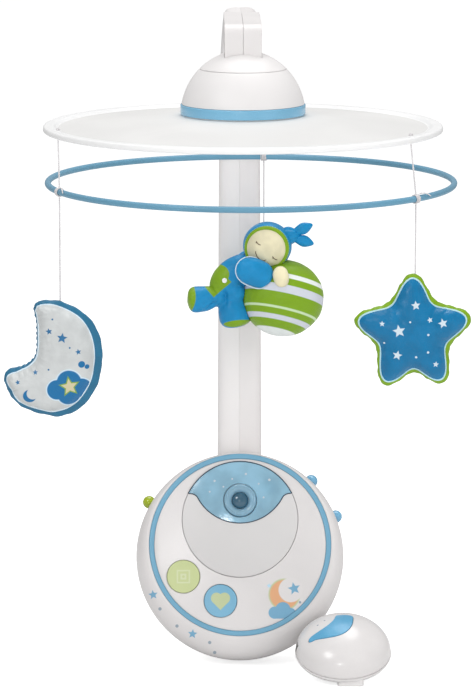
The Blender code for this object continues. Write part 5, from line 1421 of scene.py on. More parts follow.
@dataclass
class Panel:
    """Round panel: shells, trim, projector, buttons, slider knobs and the fittings of its back."""

    radius: float = 0.1065
    face: float = 0.022
    crown: float = 0.004
    shift: float = 0.0118
    trim: float = 0.093
    trim_width: float = 0.0052
    trim_depth: float = 0.0015
    well: float = 0.0595
    well_at: float = 0.0378
    well_floor: float = 0.004
    ball: float = 0.220
    corner: Flat = (0.0525, 0.0644)
    smile_low: float = 0.0340
    smile: float = 0.0488
    smile_half: float = 62.0
    window_wall: float = 0.003
    barrel: float = 0.0169
    barrel_length: float = 0.016
    barrel_at: float = 0.0570
    lens: float = 0.0083
    button: float = 0.0168
    button_thick: float = 0.0045
    button_rise: float = 0.0006
    button_well: float = 0.0060
    knob: float = 0.0067
    knob_depth: float = 0.0095
    rear_depth: float = 0.0440
    play: float = 0.0005

    def face_height(self, x: float, y: float) -> float:
        """Height of the face over the parting plane."""
        away = math.hypot(x, y - self.shift)
        return self.face + self.crown * (1.0 - (away / self.trim) ** 2)

    def circle(self, radius: float, height: float, rise: float, steps: int = 160) -> list[Place]:
        """A circle across the panel's axis."""
        return [(radius * math.cos(a), rise + radius * math.sin(a), height) for a in turns(steps)]

    def build(self) -> None:
        """Make every piece of the panel."""
        self.front()
        self.rear()
        self.projector()
        self.focus()
        self.buttons()
        self.sliders()

    def front(self) -> None:
        """Front shell with its trim ring."""
        rings = []
        for i in range(21):
            angle = math.pi / 2 * i / 20
            spread = math.cos(angle)
            height = GAP / 2 + (self.face - GAP / 2) * math.sin(angle)
            wide = self.trim + GAP + (self.radius - self.trim - GAP) * spread
            rings.append(self.circle(wide, height, self.shift * (1.0 - spread)))
        groove, floor = self.trim - self.trim_width - GAP, self.face - self.trim_depth
        for radius in (self.trim + GAP, groove):
            rings.append(self.circle(radius, floor, self.shift))
        for share in (1.0, 0.985, 0.95, 0.9, 0.8, 0.7, 0.6, 0.5, 0.4, 0.3, 0.2, 0.1):
            radius = groove * share
            dip = 0.0004 if share == 1.0 else 0.0
            rings.append(self.circle(radius, self.face_height(radius, self.shift) - dip, self.shift))
        rings.append([(0.0, self.shift, self.face + self.crown)])
        rings.insert(0, [(0.0, 0.0, GAP / 2)])
        shell = piece("panel_front_skin", skin(rings), PANEL_WHITE)
        above = 2 * self.face
        tools = [drum(self.well, self.well_floor, above, 128, (0.0, self.well_at))]
        for place in (GREEN_BUTTON_AT, BLUE_BUTTON_AT):
            floor = self.face_height(*place) - self.button_well
            tools.append(drum(self.button + self.play, floor, above, 72, place))
        cut(shell, *tools)
        seat(shell, 0.0005, PANEL, "housing", "white_plastic", "front_shell")
        low, high = self.face - self.trim_depth + GAP, self.face + self.trim_depth / 2
        inner = self.trim - self.trim_width
        profile = fillet(box(inner, high, self.trim, low), 0.0016, 6)
        ring = piece("panel_trim_ring", lathe(profile, 192, True, (0.0, self.shift)), SKY_BLUE, place=PANEL)
        settle(ring, "housing", "sky_blue", "trim_ring")

    def rear(self) -> None:
        """Rear shell, battery door, sound holes and screws."""
        dress("rear_shell", "panel_rear_skin", WHITE, "housing", "white_plastic", 0.0006, 40.0)
        dress("battery_door", "battery_hatch", WHITE, "housing", "white_plastic", 0.0004)
        back = PANEL.to_3x3() @ Vector((0.0, 0.0, -1.0))
        middle, reach = Vector((0.052, 0.012, 0.0)), 0.0105
        points = []
        for row in range(-3, 4):
            for column in range(-3, 4):
                away = Vector((0.0032 * (column + 0.5 * (row % 2)), 0.0028 * row, 0.0))
                if away.length < reach:
                    points.append(PANEL @ (middle + away - Vector((0.0, 0.0, self.rear_depth))))
        strew("sound_holes", points, [back] * len(points), (0.0018, 0.0005), DARK, "housing", "black")
        spots = ((-0.058, 0.030), (0.058, 0.044), (-0.050, -0.056), (0.050, -0.056), (0.0, -0.0345))
        points = [PANEL @ Vector((*spot, -self.rear_depth)) for spot in spots]
        fasten("panel_screws", points, back, "housing")

    def well_crown(self, radius: float) -> float:
        """Height of the projector's crown at a distance from the well's middle."""
        rim = sum(self.face_height(0.0, self.well_at + side * self.well) for side in (1, -1)) / 2
        edge = math.sqrt(self.ball ** 2 - self.well ** 2)
        return rim + math.sqrt(self.ball ** 2 - radius ** 2) - edge

    def plug(self, radius: float, floor: float, drop: float = 0.0, steps: int = 128) -> bpy.types.Mesh:
        """Body that fills the well up to its crown, less a drop."""
        profile = [(radius * i / 24, self.well_crown(radius * i / 24) - drop) for i in range(25)]
        return lathe(profile + [(radius, floor), (0.0, floor)], steps, at=(0.0, self.well_at))

    def window_outline(self, gap: float) -> list[Flat]:
        """Outline of the window, widened by a gap along its lower edge."""
        half = self.smile_half
        edge = arc((0.0, self.smile_low + self.smile), self.smile + gap, -90 - half, -90 + half, 49)
        corner = (self.corner[0], self.corner[1] - gap)
        end = edge[-1]
        middle = (end[0] + (corner[1] - end[1]) / math.tan(math.radians(half)), corner[1])
        curl = [curve(end, middle, corner, i / 10) for i in range(1, 11)]
        start = math.degrees(math.atan2(self.corner[1] - self.well_at - gap, self.corner[0]))
        top = arc((0.0, self.well_at), self.well * 1.1, start, 180 - start, 25)
        return edge + curl + top + [(-x, y) for x, y in reversed(curl)]

    def projector(self) -> None:
        """Cover, window with a dark tube of painted shadow along its edge, and the finishes of what is behind
        them.
        """
        above = 2 * self.face
        radius = self.well - self.play
        cover = piece("projector_cover", self.plug(radius, self.well_floor + GAP), COVER_GREY)
        cut(cover, prism(self.window_outline(GAP), 0.0, above))
        seat(cover, 0.0004, PANEL, "housing", "grey_white", "well_cover")
        window = piece("projector_pane", self.plug(radius, self.well_floor + GAP), WINDOW_BLUE)
        cut(window, prism(self.window_outline(0.0), 0.0, above), operation="INTERSECT")
        cut(window, self.plug(self.well + self.play, 0.0, self.window_wall, 121),
            drum(self.barrel + self.play, 0.0, above, 72, (0.0, self.barrel_at)))
        seat(window, 0.0003, PANEL, "housing", "clear_blue", "projector_window")
        path = []
        for x, y in self.window_outline(0.00015):
            away = math.hypot(x, y - self.well_at)
            near = min(1.0, (self.well - 0.0003) / away)
            path.append((x * near, self.well_at + (y - self.well_at) * near, self.well_crown(away * near)))
        # a thin dark tube in the gap round the window: a painted shadow line
        shadow_line = piece("window_seal", tube(path, 0.00055, 8, True), SHADE_DARK, place=PANEL, sharp=80.0)
        settle(shadow_line, "housing", "black")
        repaint(LIP_WHITE, "picture_wheel")
        repaint(ACETAL, "projector_lamp")

    def focus(self) -> None:
        """Focus barrel with its lens and the iris behind it; the dark lens and the iris's dark middle are
        painted shade.
        """
        front = self.well_crown(self.barrel_at - self.well_at) + 0.0010
        back = front - self.barrel_length
        bore = self.lens + GAP
        soft = (self.barrel - bore) / 4
        profile = [(bore, front - 2 * soft), (bore + soft, front - soft / 2),
                   (self.barrel - 1.6 * soft, front), (self.barrel - 1.2 * soft, front - 0.0006),
                   (self.barrel - 0.8 * soft, front), (self.barrel, front - soft), (self.barrel, back),
                   (bore, back)]
        barrel = piece("focus_collar", lathe(fillet(profile, 0.0009, 5), 96, True, (0.0, self.barrel_at)),
                       PALE_CLEAR_BLUE, place=PANEL)
        settle(barrel, "focus", "clear_blue", "focus_barrel")
        top = front - 0.004
        profile = [(self.lens * i / 10, top + 0.0016 - 0.0029 * (i / 10) ** 2) for i in range(11)]
        profile += [(self.lens * i / 10, top - 0.003 + 0.0008 * (i / 10) ** 2) for i in range(10, -1, -1)]
        # the lens is dark all through: painted shade
        lens = piece("focus_lens", lathe(profile, 64, at=(0.0, self.barrel_at)), LENS_PAINTED_SHADE, place=PANEL)
        settle(lens, "focus", "lens", "projector_lens")
        low, shade_pupil, edge = top - 0.0045, self.lens * 0.55, self.lens * 0.99
        profile = [(0.0, low - 0.0014), (shade_pupil * 0.9, low - 0.0010), (shade_pupil, low - 0.0004), (edge, low),
                   (edge, low - 0.0012), (shade_pupil, low - 0.0018), (0.0, low - 0.0024)]
        # the iris's middle takes the dark plastic: painted shade of the barrel's inside
        iris = piece("focus_iris", lathe(profile, 64, at=(0.0, self.barrel_at)), PALE_CLEAR_BLUE, SHADE_DARK)
        for face in iris.data.polygons:
            away = math.hypot(face.center.x, face.center.y - self.barrel_at)
            face.material_index = int(away < shade_pupil * 0.98)
        iris.data.transform(PANEL)
        settle(iris, "focus", "black")

    def buttons(self) -> None:
        """Two push buttons with slightly domed faces."""
        for name, place, look, slot in (("green_button", GREEN_BUTTON_AT, PALE_GREEN, "pale_green"),
                                        ("blue_button", BLUE_BUTTON_AT, BUTTON_BLUE, "sky_blue")):
            top = self.face_height(*place) + self.button_rise
            low = top - self.button_thick
            crown = [(self.button * i / 8, top + self.button_rise * (1 - (i / 8) ** 2)) for i in range(8)]
            profile = fillet(crown + [(self.button, top), (self.button, low), (0.0, low)], 0.0010, 5, False)
            cap = piece(f"{name}_cap", lathe(profile, 72, at=place), look, place=PANEL)
            settle(cap, name, slot, name)

    def sliders(self) -> None:
        """Three slider knobs at the panel's edge: balls with a shallow waist."""
        ball, steps = [(0.0, self.knob)], 24
        for i in range(1, steps):
            a = math.pi * i / steps
            waist = 1.0 - 0.05 * math.exp(-((a - math.pi / 2) / 0.10) ** 2)
            ball.append((self.knob * waist * math.sin(a), self.knob * math.cos(a)))
        ball.append((0.0, -self.knob))
        for name, angle, reach, look, slot in (
                ("green_slider", 149.0, 0.0022, CLEAR_GREEN, "clear_green"),
                ("upper_blue_slider", 46.3, 0.0004, CLEAR_BLUE, "clear_blue"),
                ("lower_blue_slider", 22.4, 0.0004, CLEAR_BLUE, "clear_blue")):
            turn = math.radians(angle)
            orbit = self.radius + reach
            mesh = lathe(ball, 40)
            place = (orbit * math.cos(turn), orbit * math.sin(turn), -self.knob_depth)
            mesh.transform(Matrix.Translation(place))
            settle(piece(f"{name}_knob", mesh, look, place=PANEL), name, slot, name)


@dataclass
class Clamp:
    """Rail clamp on the panel's back: rubber pad, threaded stud, jaw and hand nut."""

    stud_radius: float = 0.006
    stud_height: float = 0.020
    stud_end: float = 0.034 + 0.008 + 0.018 + 0.012 + 0.006

    def build(self) -> None:
        """Make the clamp's pieces and the thread on the stud."""
        dress("clamp_pad", "rail_pad_rubber", RUBBER, "housing", "rubber", 0.0006)
        dress("clamp_jaw", "rail_jaw", WHITE, "clamp_jaw", "white_plastic", 0.0009)
        dress("clamp_nut", "hand_nut", WHITE, "clamp_nut", "white_plastic", 0.0009)
        start = -0.0183
        ridge, pitch = 0.0004, 0.003
        profile: list[Flat] = [(0.0, start)]
        z = start
        core = self.stud_radius - ridge
        while z < 0.0:
            profile.append((core, z))
            z += pitch
        count = int(self.stud_end / (pitch / 4))
        for i in range(count):
            swell = 0.5 + 0.5 * math.cos(math.tau * i / 4)
            profile.append((core + ridge * swell * 0.8, 0.0004 + i * pitch / 4))
        profile += [(core, self.stud_end - 0.0015), (core - 0.001, self.stud_end), (0.0, self.stud_end)]
        mesh = lathe(profile, 40)
        stand = Matrix.Translation((0.0, 0.0, self.stud_height)) @ Matrix.Rotation(-math.pi / 2, 4, "X")
        settle(piece("clamp_screw_stud", mesh, WHITE, place=stand, sharp=60.0), "housing", "white_plastic",
               "clamp_stud")


@dataclass
class Remote:
    """Pebble-shaped remote control with a crescent button and a dark signal window."""

    half_width: float = 0.0484
    half_depth: float = 0.0480
    crown: float = 0.0340
    belly: float = 0.0120
    lip: float = 0.0009
    lip_inset: float = 0.014
    button_floor: float = 0.0163
    button_well: float = 0.0150
    foot: tuple[float, ...] = (0.097, -0.176, 0.123, -0.120)
    foot_span: Flat = (-0.1080, -0.0960)

    def oval(self, share: float, height: float) -> list[Place]:
        """Section of the pebble at a share of its size; none is a point."""
        return [(self.half_width * share * math.cos(a), self.half_depth * share * math.sin(a), height)
                for a in (turns(128) if share else [0.0])]

    def pebble(self, rise: float, grow: float = 0.0) -> bpy.types.Mesh:
        """Upper half of the pebble from the parting plane to a rise, or a larger one."""
        rings, steps = [], 20
        for i in range(steps):
            angle = math.pi / 2 * i / steps
            height = GAP / 2 + (rise + grow - GAP / 2) * math.sin(angle)
            share = math.cos(angle) + grow / self.half_width
            if i == 0 and not grow:
                rings.append(self.oval(share - self.lip_inset, height))
                height += self.lip
            rings.append(self.oval(share, height))
        return skin(rings + [[(0.0, 0.0, rise + grow)]])

    def signal_hole(self) -> bpy.types.Mesh:
        """Space for the signal window in both shells."""
        return prism(box(-0.0537, -0.0053, -0.0431, 0.0053), 0.0003, 0.0109)

    def button_outline(self, gap: float) -> list[Flat]:
        """Crescent outline of the button, widened by a gap."""
        low, tail, tip = (-0.0290, -0.0146), (-0.0353, -0.0124), (-0.0322, -0.0086)
        right, left = (0.0098, 0.0150), (-0.0072, 0.0178)
        runs = ((low, (0.0105, -0.0262), right, 26), (right, (0.0090, 0.0205), left, 12),
                (left, (-0.0098, -0.0018), tip, 22), (tip, (-0.0354, -0.0096), tail, 5),
                (tail, (-0.0349, -0.0152), low, 5))
        points = [curve(start, middle, end, i / count)
                  for start, middle, end, count in runs for i in range(count)]
        rounded = fillet(points, 0.0004, 3)
        if not gap:
            return rounded
        moved = []
        for i, point in enumerate(rounded):
            ahead = Vector(rounded[(i + 1) % len(rounded)]) - Vector(rounded[i - 1])
            out = Vector((ahead.y, -ahead.x)).normalized() * gap
            moved.append((point[0] + out.x, point[1] + out.y))
        return moved

    def base(self) -> None:
        """Lower shell with its square belly, the foot under it and two screws."""
        rings, steps = [], 16
        for i in range(steps + 1):
            angle = math.pi / 2 * i / steps
            share = 1.012 * math.cos(angle) ** 0.42 if i < steps else 0.0
            height = -GAP / 2 - (self.belly - GAP / 2) * math.sin(angle) ** 1.15
            if i == 0:
                rings.append(self.oval(0.990, height))
                height -= self.lip
            rings.append(self.oval(share, height))
        shell = cut(piece("remote_base", skin(rings), WHITE), self.signal_hole())
        shell.data.transform(REMOTE)
        foot = fillet(box(*self.foot), 0.004, 5)
        cut(shell, prism(foot, *self.foot_span), operation="UNION")
        settle(soften(shell, 0.0005, 45.0), "remote", "white_plastic", "remote_lower_shell")
        down = REMOTE.to_3x3() @ Vector((0.0, 0.0, -1.0))
        points = [REMOTE @ Vector((x, 0.020, -self.belly * 0.985)) for x in (-0.022, 0.028)]
        fasten("remote_screws", points, down, "remote", 0.0026)

    def build(self) -> None:
        """Make the shells, the button, the signal window and the screws below."""
        upper = piece("remote_top_skin", self.pebble(self.crown), REMOTE_WHITE)
        well = prism(self.button_outline(0.0005), self.button_well, 2 * self.crown)
        cut(upper, well, self.signal_hole())
        seat(upper, 0.0004, REMOTE, "remote", "white_plastic", "remote_upper_shell")
        button = piece("remote_crescent", self.pebble(self.crown, 0.0006), REMOTE_BLUE)
        outline = self.button_outline(0.0)
        cut(button, prism(outline, self.button_floor, 2 * self.crown), operation="INTERSECT")
        seat(button, 0.0005, REMOTE, "remote_button", "sky_blue", "remote_button")
        self.base()
        dress("remote_signal_window", "signal_pane", DARK, "remote", "black", 0.0003)


REMOTE_WHITE = Plastic("remote_plastic", (0.72, 0.695, 0.69), 0.24, coat=0.3, print=Printing(
    REMOTE_ORIGIN, REMOTE_LEAN, (dot(-26.0, 6.0, 1.0, DOT_GREY), dot(-19.0, 11.5, 1.0, DOT_GREY))))


# ---------------------------------------------------------------- soft toys

def filled(part: bpy.types.Object, pressure: float, cap: float, pinned: Sequence[int],
           frames: int = 18) -> None:
    """Swell a sewn piece by cloth simulation, its seams held, and keep the result.

    Args:
        part: the piece, a closed mesh.
        pressure: filling pressure.
        cap: the most that a point may move.
        pinned: vertices of the seams.
        frames: steps of the simulation.
    """
    scene = bpy.context.scene
    held = part.vertex_groups.new(name="seams")
    held.add(list(pinned), 1.0, "REPLACE")
    scene.frame_set(1)
    step = part.modifiers.new("fill", "CLOTH")
    cloth = step.settings
    cloth.quality = 6
    cloth.mass = 0.12
    cloth.tension_stiffness = cloth.compression_stiffness = 14.0
    cloth.shear_stiffness = 6.0
    cloth.bending_stiffness = 0.2
    cloth.use_pressure = True
    cloth.uniform_pressure_force = pressure
    cloth.effector_weights.gravity = 0.0
    cloth.vertex_group_mass = "seams"
    step.collision_settings.use_collision = False
    step.point_cache.frame_start, step.point_cache.frame_end = 1, frames
    for frame in range(1, frames + 1):
        scene.frame_set(frame)
    graph = bpy.context.evaluated_depsgraph_get()
    swollen = part.evaluated_get(graph).data
    places = [vert.co.copy() for vert in swollen.vertices]
    part.modifiers.remove(step)
    part.vertex_groups.clear()
    scene.frame_set(1)
    for vert, place in zip(part.data.vertices, places):
        move = place - vert.co
        if move.length > cap:
            move *= cap / move.length
        vert.co += move
    part.data.update()


@dataclass
class Cushion:
    """A sewn cushion: front and back panels on a gusset, with piping in both seams."""

    name: str
    centre: Vector
    outline: list[Flat]
    spine: list[Flat]
    spine_of: list[int]
    crowns: list[float]
    gusset: float
    insets: list[float]
    lean: Flat
    looks: tuple[Cloth, Cloth, Cloth]
    piping: Cloth
    rows: int = 14
    bands: int = 6

    def seam(self, i: int, side: int) -> Vector:
        """Point of the front (-1) or back (1) seam beside an outline point."""
        here, middle = Vector(self.outline[i]), Vector(self.spine[self.spine_of[i]])
        inward = middle - here
        place = here + inward * min(0.8, self.insets[i] / max(inward.length, 1e-6))
        if side < 0:
            place = place + Vector(self.lean)
        return Vector((place.x, side * self.gusset / 2, place.y))

    def mesh(self) -> tuple[bpy.types.Mesh, list[int], list[int]]:
        """The closed cushion and the vertex numbers of its two seams."""
        count = len(self.outline)
        points: list[Vector] = []
        faces: list[tuple[list[int], int]] = []
        rims: dict[int, list[int]] = {}
        for side in (-1, 1):
            rims[side] = list(range(len(points), len(points) + count))
            points += [self.seam(i, side) for i in range(count)]
        for side, slot in ((-1, 0), (1, 2)):
            rows = [rims[side]]
            for k in range(1, self.rows):
                t = (k / self.rows) ** 0.85
                rows.append(list(range(len(points), len(points) + count)))
                for i in range(count):
                    edge = self.seam(i, side)
                    x, z = self.spine[self.spine_of[i]]
                    rise = self.crowns[self.spine_of[i]] * (1.0 - (1.0 - t) ** 2.4) ** 0.7
                    flat = Vector((edge.x, 0.0, edge.z)).lerp(Vector((x, 0.0, z)), t)
                    points.append(Vector((flat.x, side * (self.gusset / 2 + rise), flat.z)))
            first = len(points)
            points += [Vector((x, side * (self.gusset / 2 + crown), z)) for (x, z), crown in
                       zip(self.spine, self.crowns)]
            rows.append([first + self.spine_of[i] for i in range(count)])
            faces += self.strips(rows, slot)
        rows = [rims[-1]]
        for m in range(1, self.bands):
            angle = math.pi * m / self.bands
            rows.append(list(range(len(points), len(points) + count)))
            for i in range(count):
                front, back = self.seam(i, -1), self.seam(i, 1)
                flat = front.lerp(back, m / self.bands)
                out = Vector((self.outline[i][0], flat.y, self.outline[i][1]))
                points.append(flat.lerp(out, math.sin(angle)))
        rows.append(rims[1])
        faces += self.strips(rows, 1)
        mesh = bpy.data.meshes.new(self.name)
        mesh.from_pydata([tuple(point) for point in points], [], [corners for corners, _ in faces])
        for face, (_, slot) in zip(mesh.polygons, faces):
            face.material_index = slot
        return mesh, rims[-1], rims[1]

    @staticmethod
    def strips(rows: Sequence[Sequence[int]], slot: int) -> list[tuple[list[int], int]]:
        """Faces between rings of vertices, without those that have no width."""
        faces = []
        for one, two in zip(rows, rows[1:]):
            for i in range(len(one)):
                j = (i + 1) % len(one)
                corners = list(dict.fromkeys([one[i], one[j], two[j], two[i]]))
                if len(corners) > 2:
                    faces.append((corners, slot))
        return faces

    def pucker(self, part: bpy.types.Object, front: Sequence[int], held: set[int]) -> None:
        """Draw small gathers from the seams into the panels and soft dents over the faces.

        Args:
            part: the cushion.
            front: vertices of its front seam.
            held: vertices of both seams, which stay.
        """
        part.data.update()
        normals = [vert.normal.copy() for vert in part.data.vertices]
        seams = [part.data.vertices[i].co.copy() for i in front]
        count = len(seams)
        for number, vert in enumerate(part.data.vertices):
            if number in held:
                continue
            place = vert.co
            near = min(range(0, count, 2), key=lambda i: (seams[i].x - place.x) ** 2
                       + (seams[i].z - place.z) ** 2)
            away = math.hypot(seams[near].x - place.x, seams[near].z - place.z)
            wave = math.sin(near * 0.95 + 2.2 * noise.noise(Vector((near * 0.05, 0.3, 0.0))))
            fade = math.exp(-away / 0.0075) * (1.0 - math.exp(-away / 0.0010))
            dent = noise.noise(place * 42.0) * 0.5 + noise.noise(place * 95.0) * 0.25
            free = 1.0 - math.exp(-away / 0.006)
            vert.co += normals[number] * (0.00075 * wave * fade + 0.0009 * dent * free)
        part.data.update()

    def build(self, body: str, slot: str, node: str, pressure: float, cap: float) -> None:
        """Make the cushion and its piping.

        Args:
            body: body that it rides on.
            slot: the record's slot; not used.
            node: solid that it replaces.
            pressure: filling pressure.
            cap: the most that a point may move in the filling.
        """
        mesh, front, back = self.mesh()
        slots = [face.material_index for face in mesh.polygons]
        part = piece(f"{self.name}_cushion", mesh, *self.looks, sharp=180.0,
                     place=Matrix.Translation(self.centre))
        work = bmesh.new()
        work.from_mesh(part.data)
        bmesh.ops.recalc_face_normals(work, faces=work.faces)
        work.to_mesh(part.data)
        work.free()
        for face, number in zip(part.data.polygons, slots):
            face.material_index = number
        held = set(front) | set(back)
        filled(part, pressure, cap, sorted(held))
        self.pucker(part, front, held)
        rims = [[part.data.vertices[i].co.copy() for i in rim] for rim in (front, back)]
        fine = part.modifiers.new("fine", "SUBSURF")
        fine.levels = fine.render_levels = 1
        bake(part)
        settle(part, body, slot, node)
        cords = joined([tube(rim, 0.0009, 8, True) for rim in rims])
        cords = piece(f"{self.name}_piping", cords, self.piping, sharp=180.0)
        settle(cords, body, slot)


def smooth_run(points: Sequence[Flat], count: int) -> list[Vector]:
    """Evenly spaced points of a smooth curve through given points.

    Args:
        points: the points, from one end to the other.
        count: how many points come back.

    Returns:
        The points of the curve, both ends among them.
    """
    given = [Vector(point) for point in points]
    last = len(given) - 1
    fine: list[Vector] = []
    for i in range(last):
        a, b, c, d = given[max(0, i - 1)], given[i], given[i + 1], given[min(last, i + 2)]
        for t in (k / 12 for k in range(12)):
            fine.append(0.5 * (2 * b + (c - a) * t + (2 * a - 5 * b + 4 * c - d) * t * t
                               + (3 * b - a - 3 * c + d) * t ** 3))
    fine.append(given[-1])
    runs = [0.0]
    for one, two in zip(fine, fine[1:]):
        runs.append(runs[-1] + (two - one).length)
    even, k = [], 0
    for i in range(count):
        goal = runs[-1] * i / (count - 1)
        while k < len(runs) - 2 and runs[k + 1] < goal:
            k += 1
        even.append(fine[k].lerp(fine[k + 1], (goal - runs[k]) / max(runs[k + 1] - runs[k], 1e-9)))
    return even


def rounded_loop(corners: Sequence[Flat], reaches: Sequence[float]) -> list[Flat]:
    """A closed outline with rounded corners whose last point is its first.

    Args:
        corners: the corners in order.
        reaches: how far along its two sides each corner is rounded.

    Returns:
        The outline's points.
    """
    points: list[Flat] = []
    for i, corner in enumerate(corners):
        here = Vector(corner)
        before, after = Vector(corners[i - 1]) - here, Vector(corners[(i + 1) % len(corners)]) - here
        start, end = here + before.normalized() * reaches[i], here + after.normalized() * reaches[i]
        for k in range(9):
            points.append(tuple(start.lerp(here, k / 8).lerp(here.lerp(end, k / 8), k / 8)))
    return points + points[:1]


STAR_TIPS = (0.0, 75.0, 148.5, 208.0, 283.0)
STAR_VALLEYS = (34.0, 110.0, 178.0, 252.0, 322.0)
MOON_OUTER = ((0.6, 55.8), (11.3, 55.2), (21.1, 51.6), (30.8, 46.3), (39.6, 39.4), (46.4, 29.5),
              (50.7, 17.6), (52.3, 3.7), (51.3, -8.1), (48.4, -22.0), (42.5, -33.9), (34.7, -43.8),
              (25.0, -50.7), (15.2, -54.0), (8.4, -55.0), (-4.3, -52.7), (-14.0, -50.1), (-23.7, -45.7))
MOON_LOW_END = ((-23.7, -45.7), (-31.5, -38.8), (-37.4, -28.9), (-40.3, -19.0), (-39.0, -12.1),
                (-33.5, -8.5), (-26.7, -7.1))
MOON_INNER = ((-26.7, -7.1), (-18.9, -4.2), (-13.0, 0.8), (-10.5, 5.7), (-9.7, 13.6), (-9.7, 21.5),
              (-9.7, 29.5), (-9.9, 36.4), (-11.1, 41.3))
MOON_TOP_END = ((-11.1, 41.3), (-12.1, 46.3), (-11.5, 50.2), (-8.2, 54.2), (0.6, 55.8))


def star_cushion() -> Cushion:
    """The star: rounded points, blue satin with white stars, green gusset."""
    centre = Vector((STAR_LINE.knot.x - 0.0018, STAR_LINE.knot.y, RING_Z - 0.0690 - 0.0560))
    corners = []
    for tip, valley in zip(STAR_TIPS, STAR_VALLEYS):
        for angle, reach in ((tip, 0.0680), (valley, 0.0355)):
            turn = math.radians(angle)
            corners.append((reach * math.sin(turn), reach * math.cos(turn)))
    outline = [tuple(point) for point in smooth_run(rounded_loop(corners, (0.027, 0.009) * 5), 201)[:-1]]
    count = len(outline)
    blue, white = (0.002, 0.168, 0.365), (0.62, 0.72, 0.79)
    marks = (star(-13.7, 4.0, 6.0, white, 10), star(-15.1, -18.8, 4.6, white, -12),
             star(1.7, 27.7, 4.4, white, 5), star(26.9, 10.9, 4.6, white, 14), star(-29.3, 10.6, 2.7, white),
             star(14.9, 14.1, 2.7, white, 20), star(20.7, -27.7, 2.9, white, -8),
             dot(13.4, 0.5, 1.1, white), dot(13.3, -16.0, 1.1, white), dot(2.4, -20.8, 1.1, white),
             dot(-3.5, 12.5, 0.9, white), dot(-27, -8, 0.9, white))
    satin = Cloth("star_blue_satin", blue, 0.26, 0.02, coat=0.3,
                  print=Printing(tuple(centre), math.pi / 2, marks))
    plain = Cloth("star_back_satin", blue, 0.26, 0.02, coat=0.3)
    return Cushion("star", centre, outline, [(0.0, 0.0)], [0] * count, [0.0125], 0.0090, [0.0048] * count,
                   (-0.0006, 0.0004), (satin, GREEN_CLOTH, plain), PIPING)


def moon_cushion() -> Cushion:
    """The crescent moon: white satin with small blue stars, blue gusset."""
    centre = Vector((MOON_LINE.knot.x - 0.0130, MOON_LINE.knot.y, RING_Z - 0.1580))
    count = 84
    outer, low = smooth_run(MOON_OUTER, count + 1), smooth_run(MOON_LOW_END, 26)
    inner, top = smooth_run(MOON_INNER, count + 1), smooth_run(MOON_TOP_END, 18)
    outline = [tuple(point / 990) for point in outer + low[1:-1] + inner + top[1:-1]]
    ends = [count] * (len(low) - 2), [0] * (len(top) - 2)
    spine_of = list(range(count + 1)) + ends[0] + list(range(count, -1, -1)) + ends[1]
    wide, narrow, reach = 0.0066, 0.0044, 7
    plain = [wide] * (len(outer) + len(low) - 2) + [narrow] * len(inner) + [wide] * (len(top) - 2)
    insets = [sum(plain[(i + k) % len(plain)] for k in range(-reach, reach + 1)) / (2 * reach + 1)
              for i in range(len(plain))]
    inner.reverse()
    spine = [tuple((one + two) / 1980) for one, two in zip(outer, inner)]
    thick = 0.0155
    crowns = [thick * min(1.0, ((one - two).length / 2000 / thick) ** 0.7) - 0.0045
              for one, two in zip(outer, inner)]
    blue, green, deep = (0.03, 0.16, 0.34), (0.20, 0.36, 0.015), (0.006, 0.15, 0.36)
    pale, cream, ground = (0.62, 0.78, 0.88), (0.62, 0.56, 0.36), (0.58, 0.60, 0.60)
    cloud = ((10, -27, 9.5), (21, -20, 11.5), (32, -26, 9.5), (21, -31, 11.0))
    marks = tuple(dot(x, z, r + grow, colour)
                  for grow, colour in ((1.0, pale), (0.0, deep)) for x, z, r in cloud)
    marks += (star(21.5, -24, 10.4, green, 8), star(21.5, -24, 8.0, cream, 8), dot(-16, -33, 6.2, deep),
              dot(-13, -30.6, 5.6, ground), dot(33, -3, 3.2, deep), dot(38, -5.5, 2.2, deep),
              star(2.6, 28.1, 3.4, blue, 12), star(14.9, 22.2, 5.2, blue, -8),
              star(-10.5, -10.9, 2.6, blue, 4), star(30, 9, 3.0, blue, 10), star(-27, -20, 2.4, blue, 15),
              dot(22, 13, 0.9, blue), dot(2, -8, 0.9, blue), dot(6, 40, 0.9, blue))
    satin = Cloth("moon_white_satin", ground, 0.30, 0.05, coat=0.4, clouds=0.05,
                  print=Printing(tuple(centre), math.pi / 2, marks))
    plain = Cloth("moon_back_satin", ground, 0.30, 0.05, coat=0.4, clouds=0.05)
    return Cushion("moon", centre, outline, spine, spine_of, crowns, 0.0090, insets, (-0.0019, 0.0004),
                   (satin, MOON_EDGE, plain), WHITE_PIPING, rows=12)


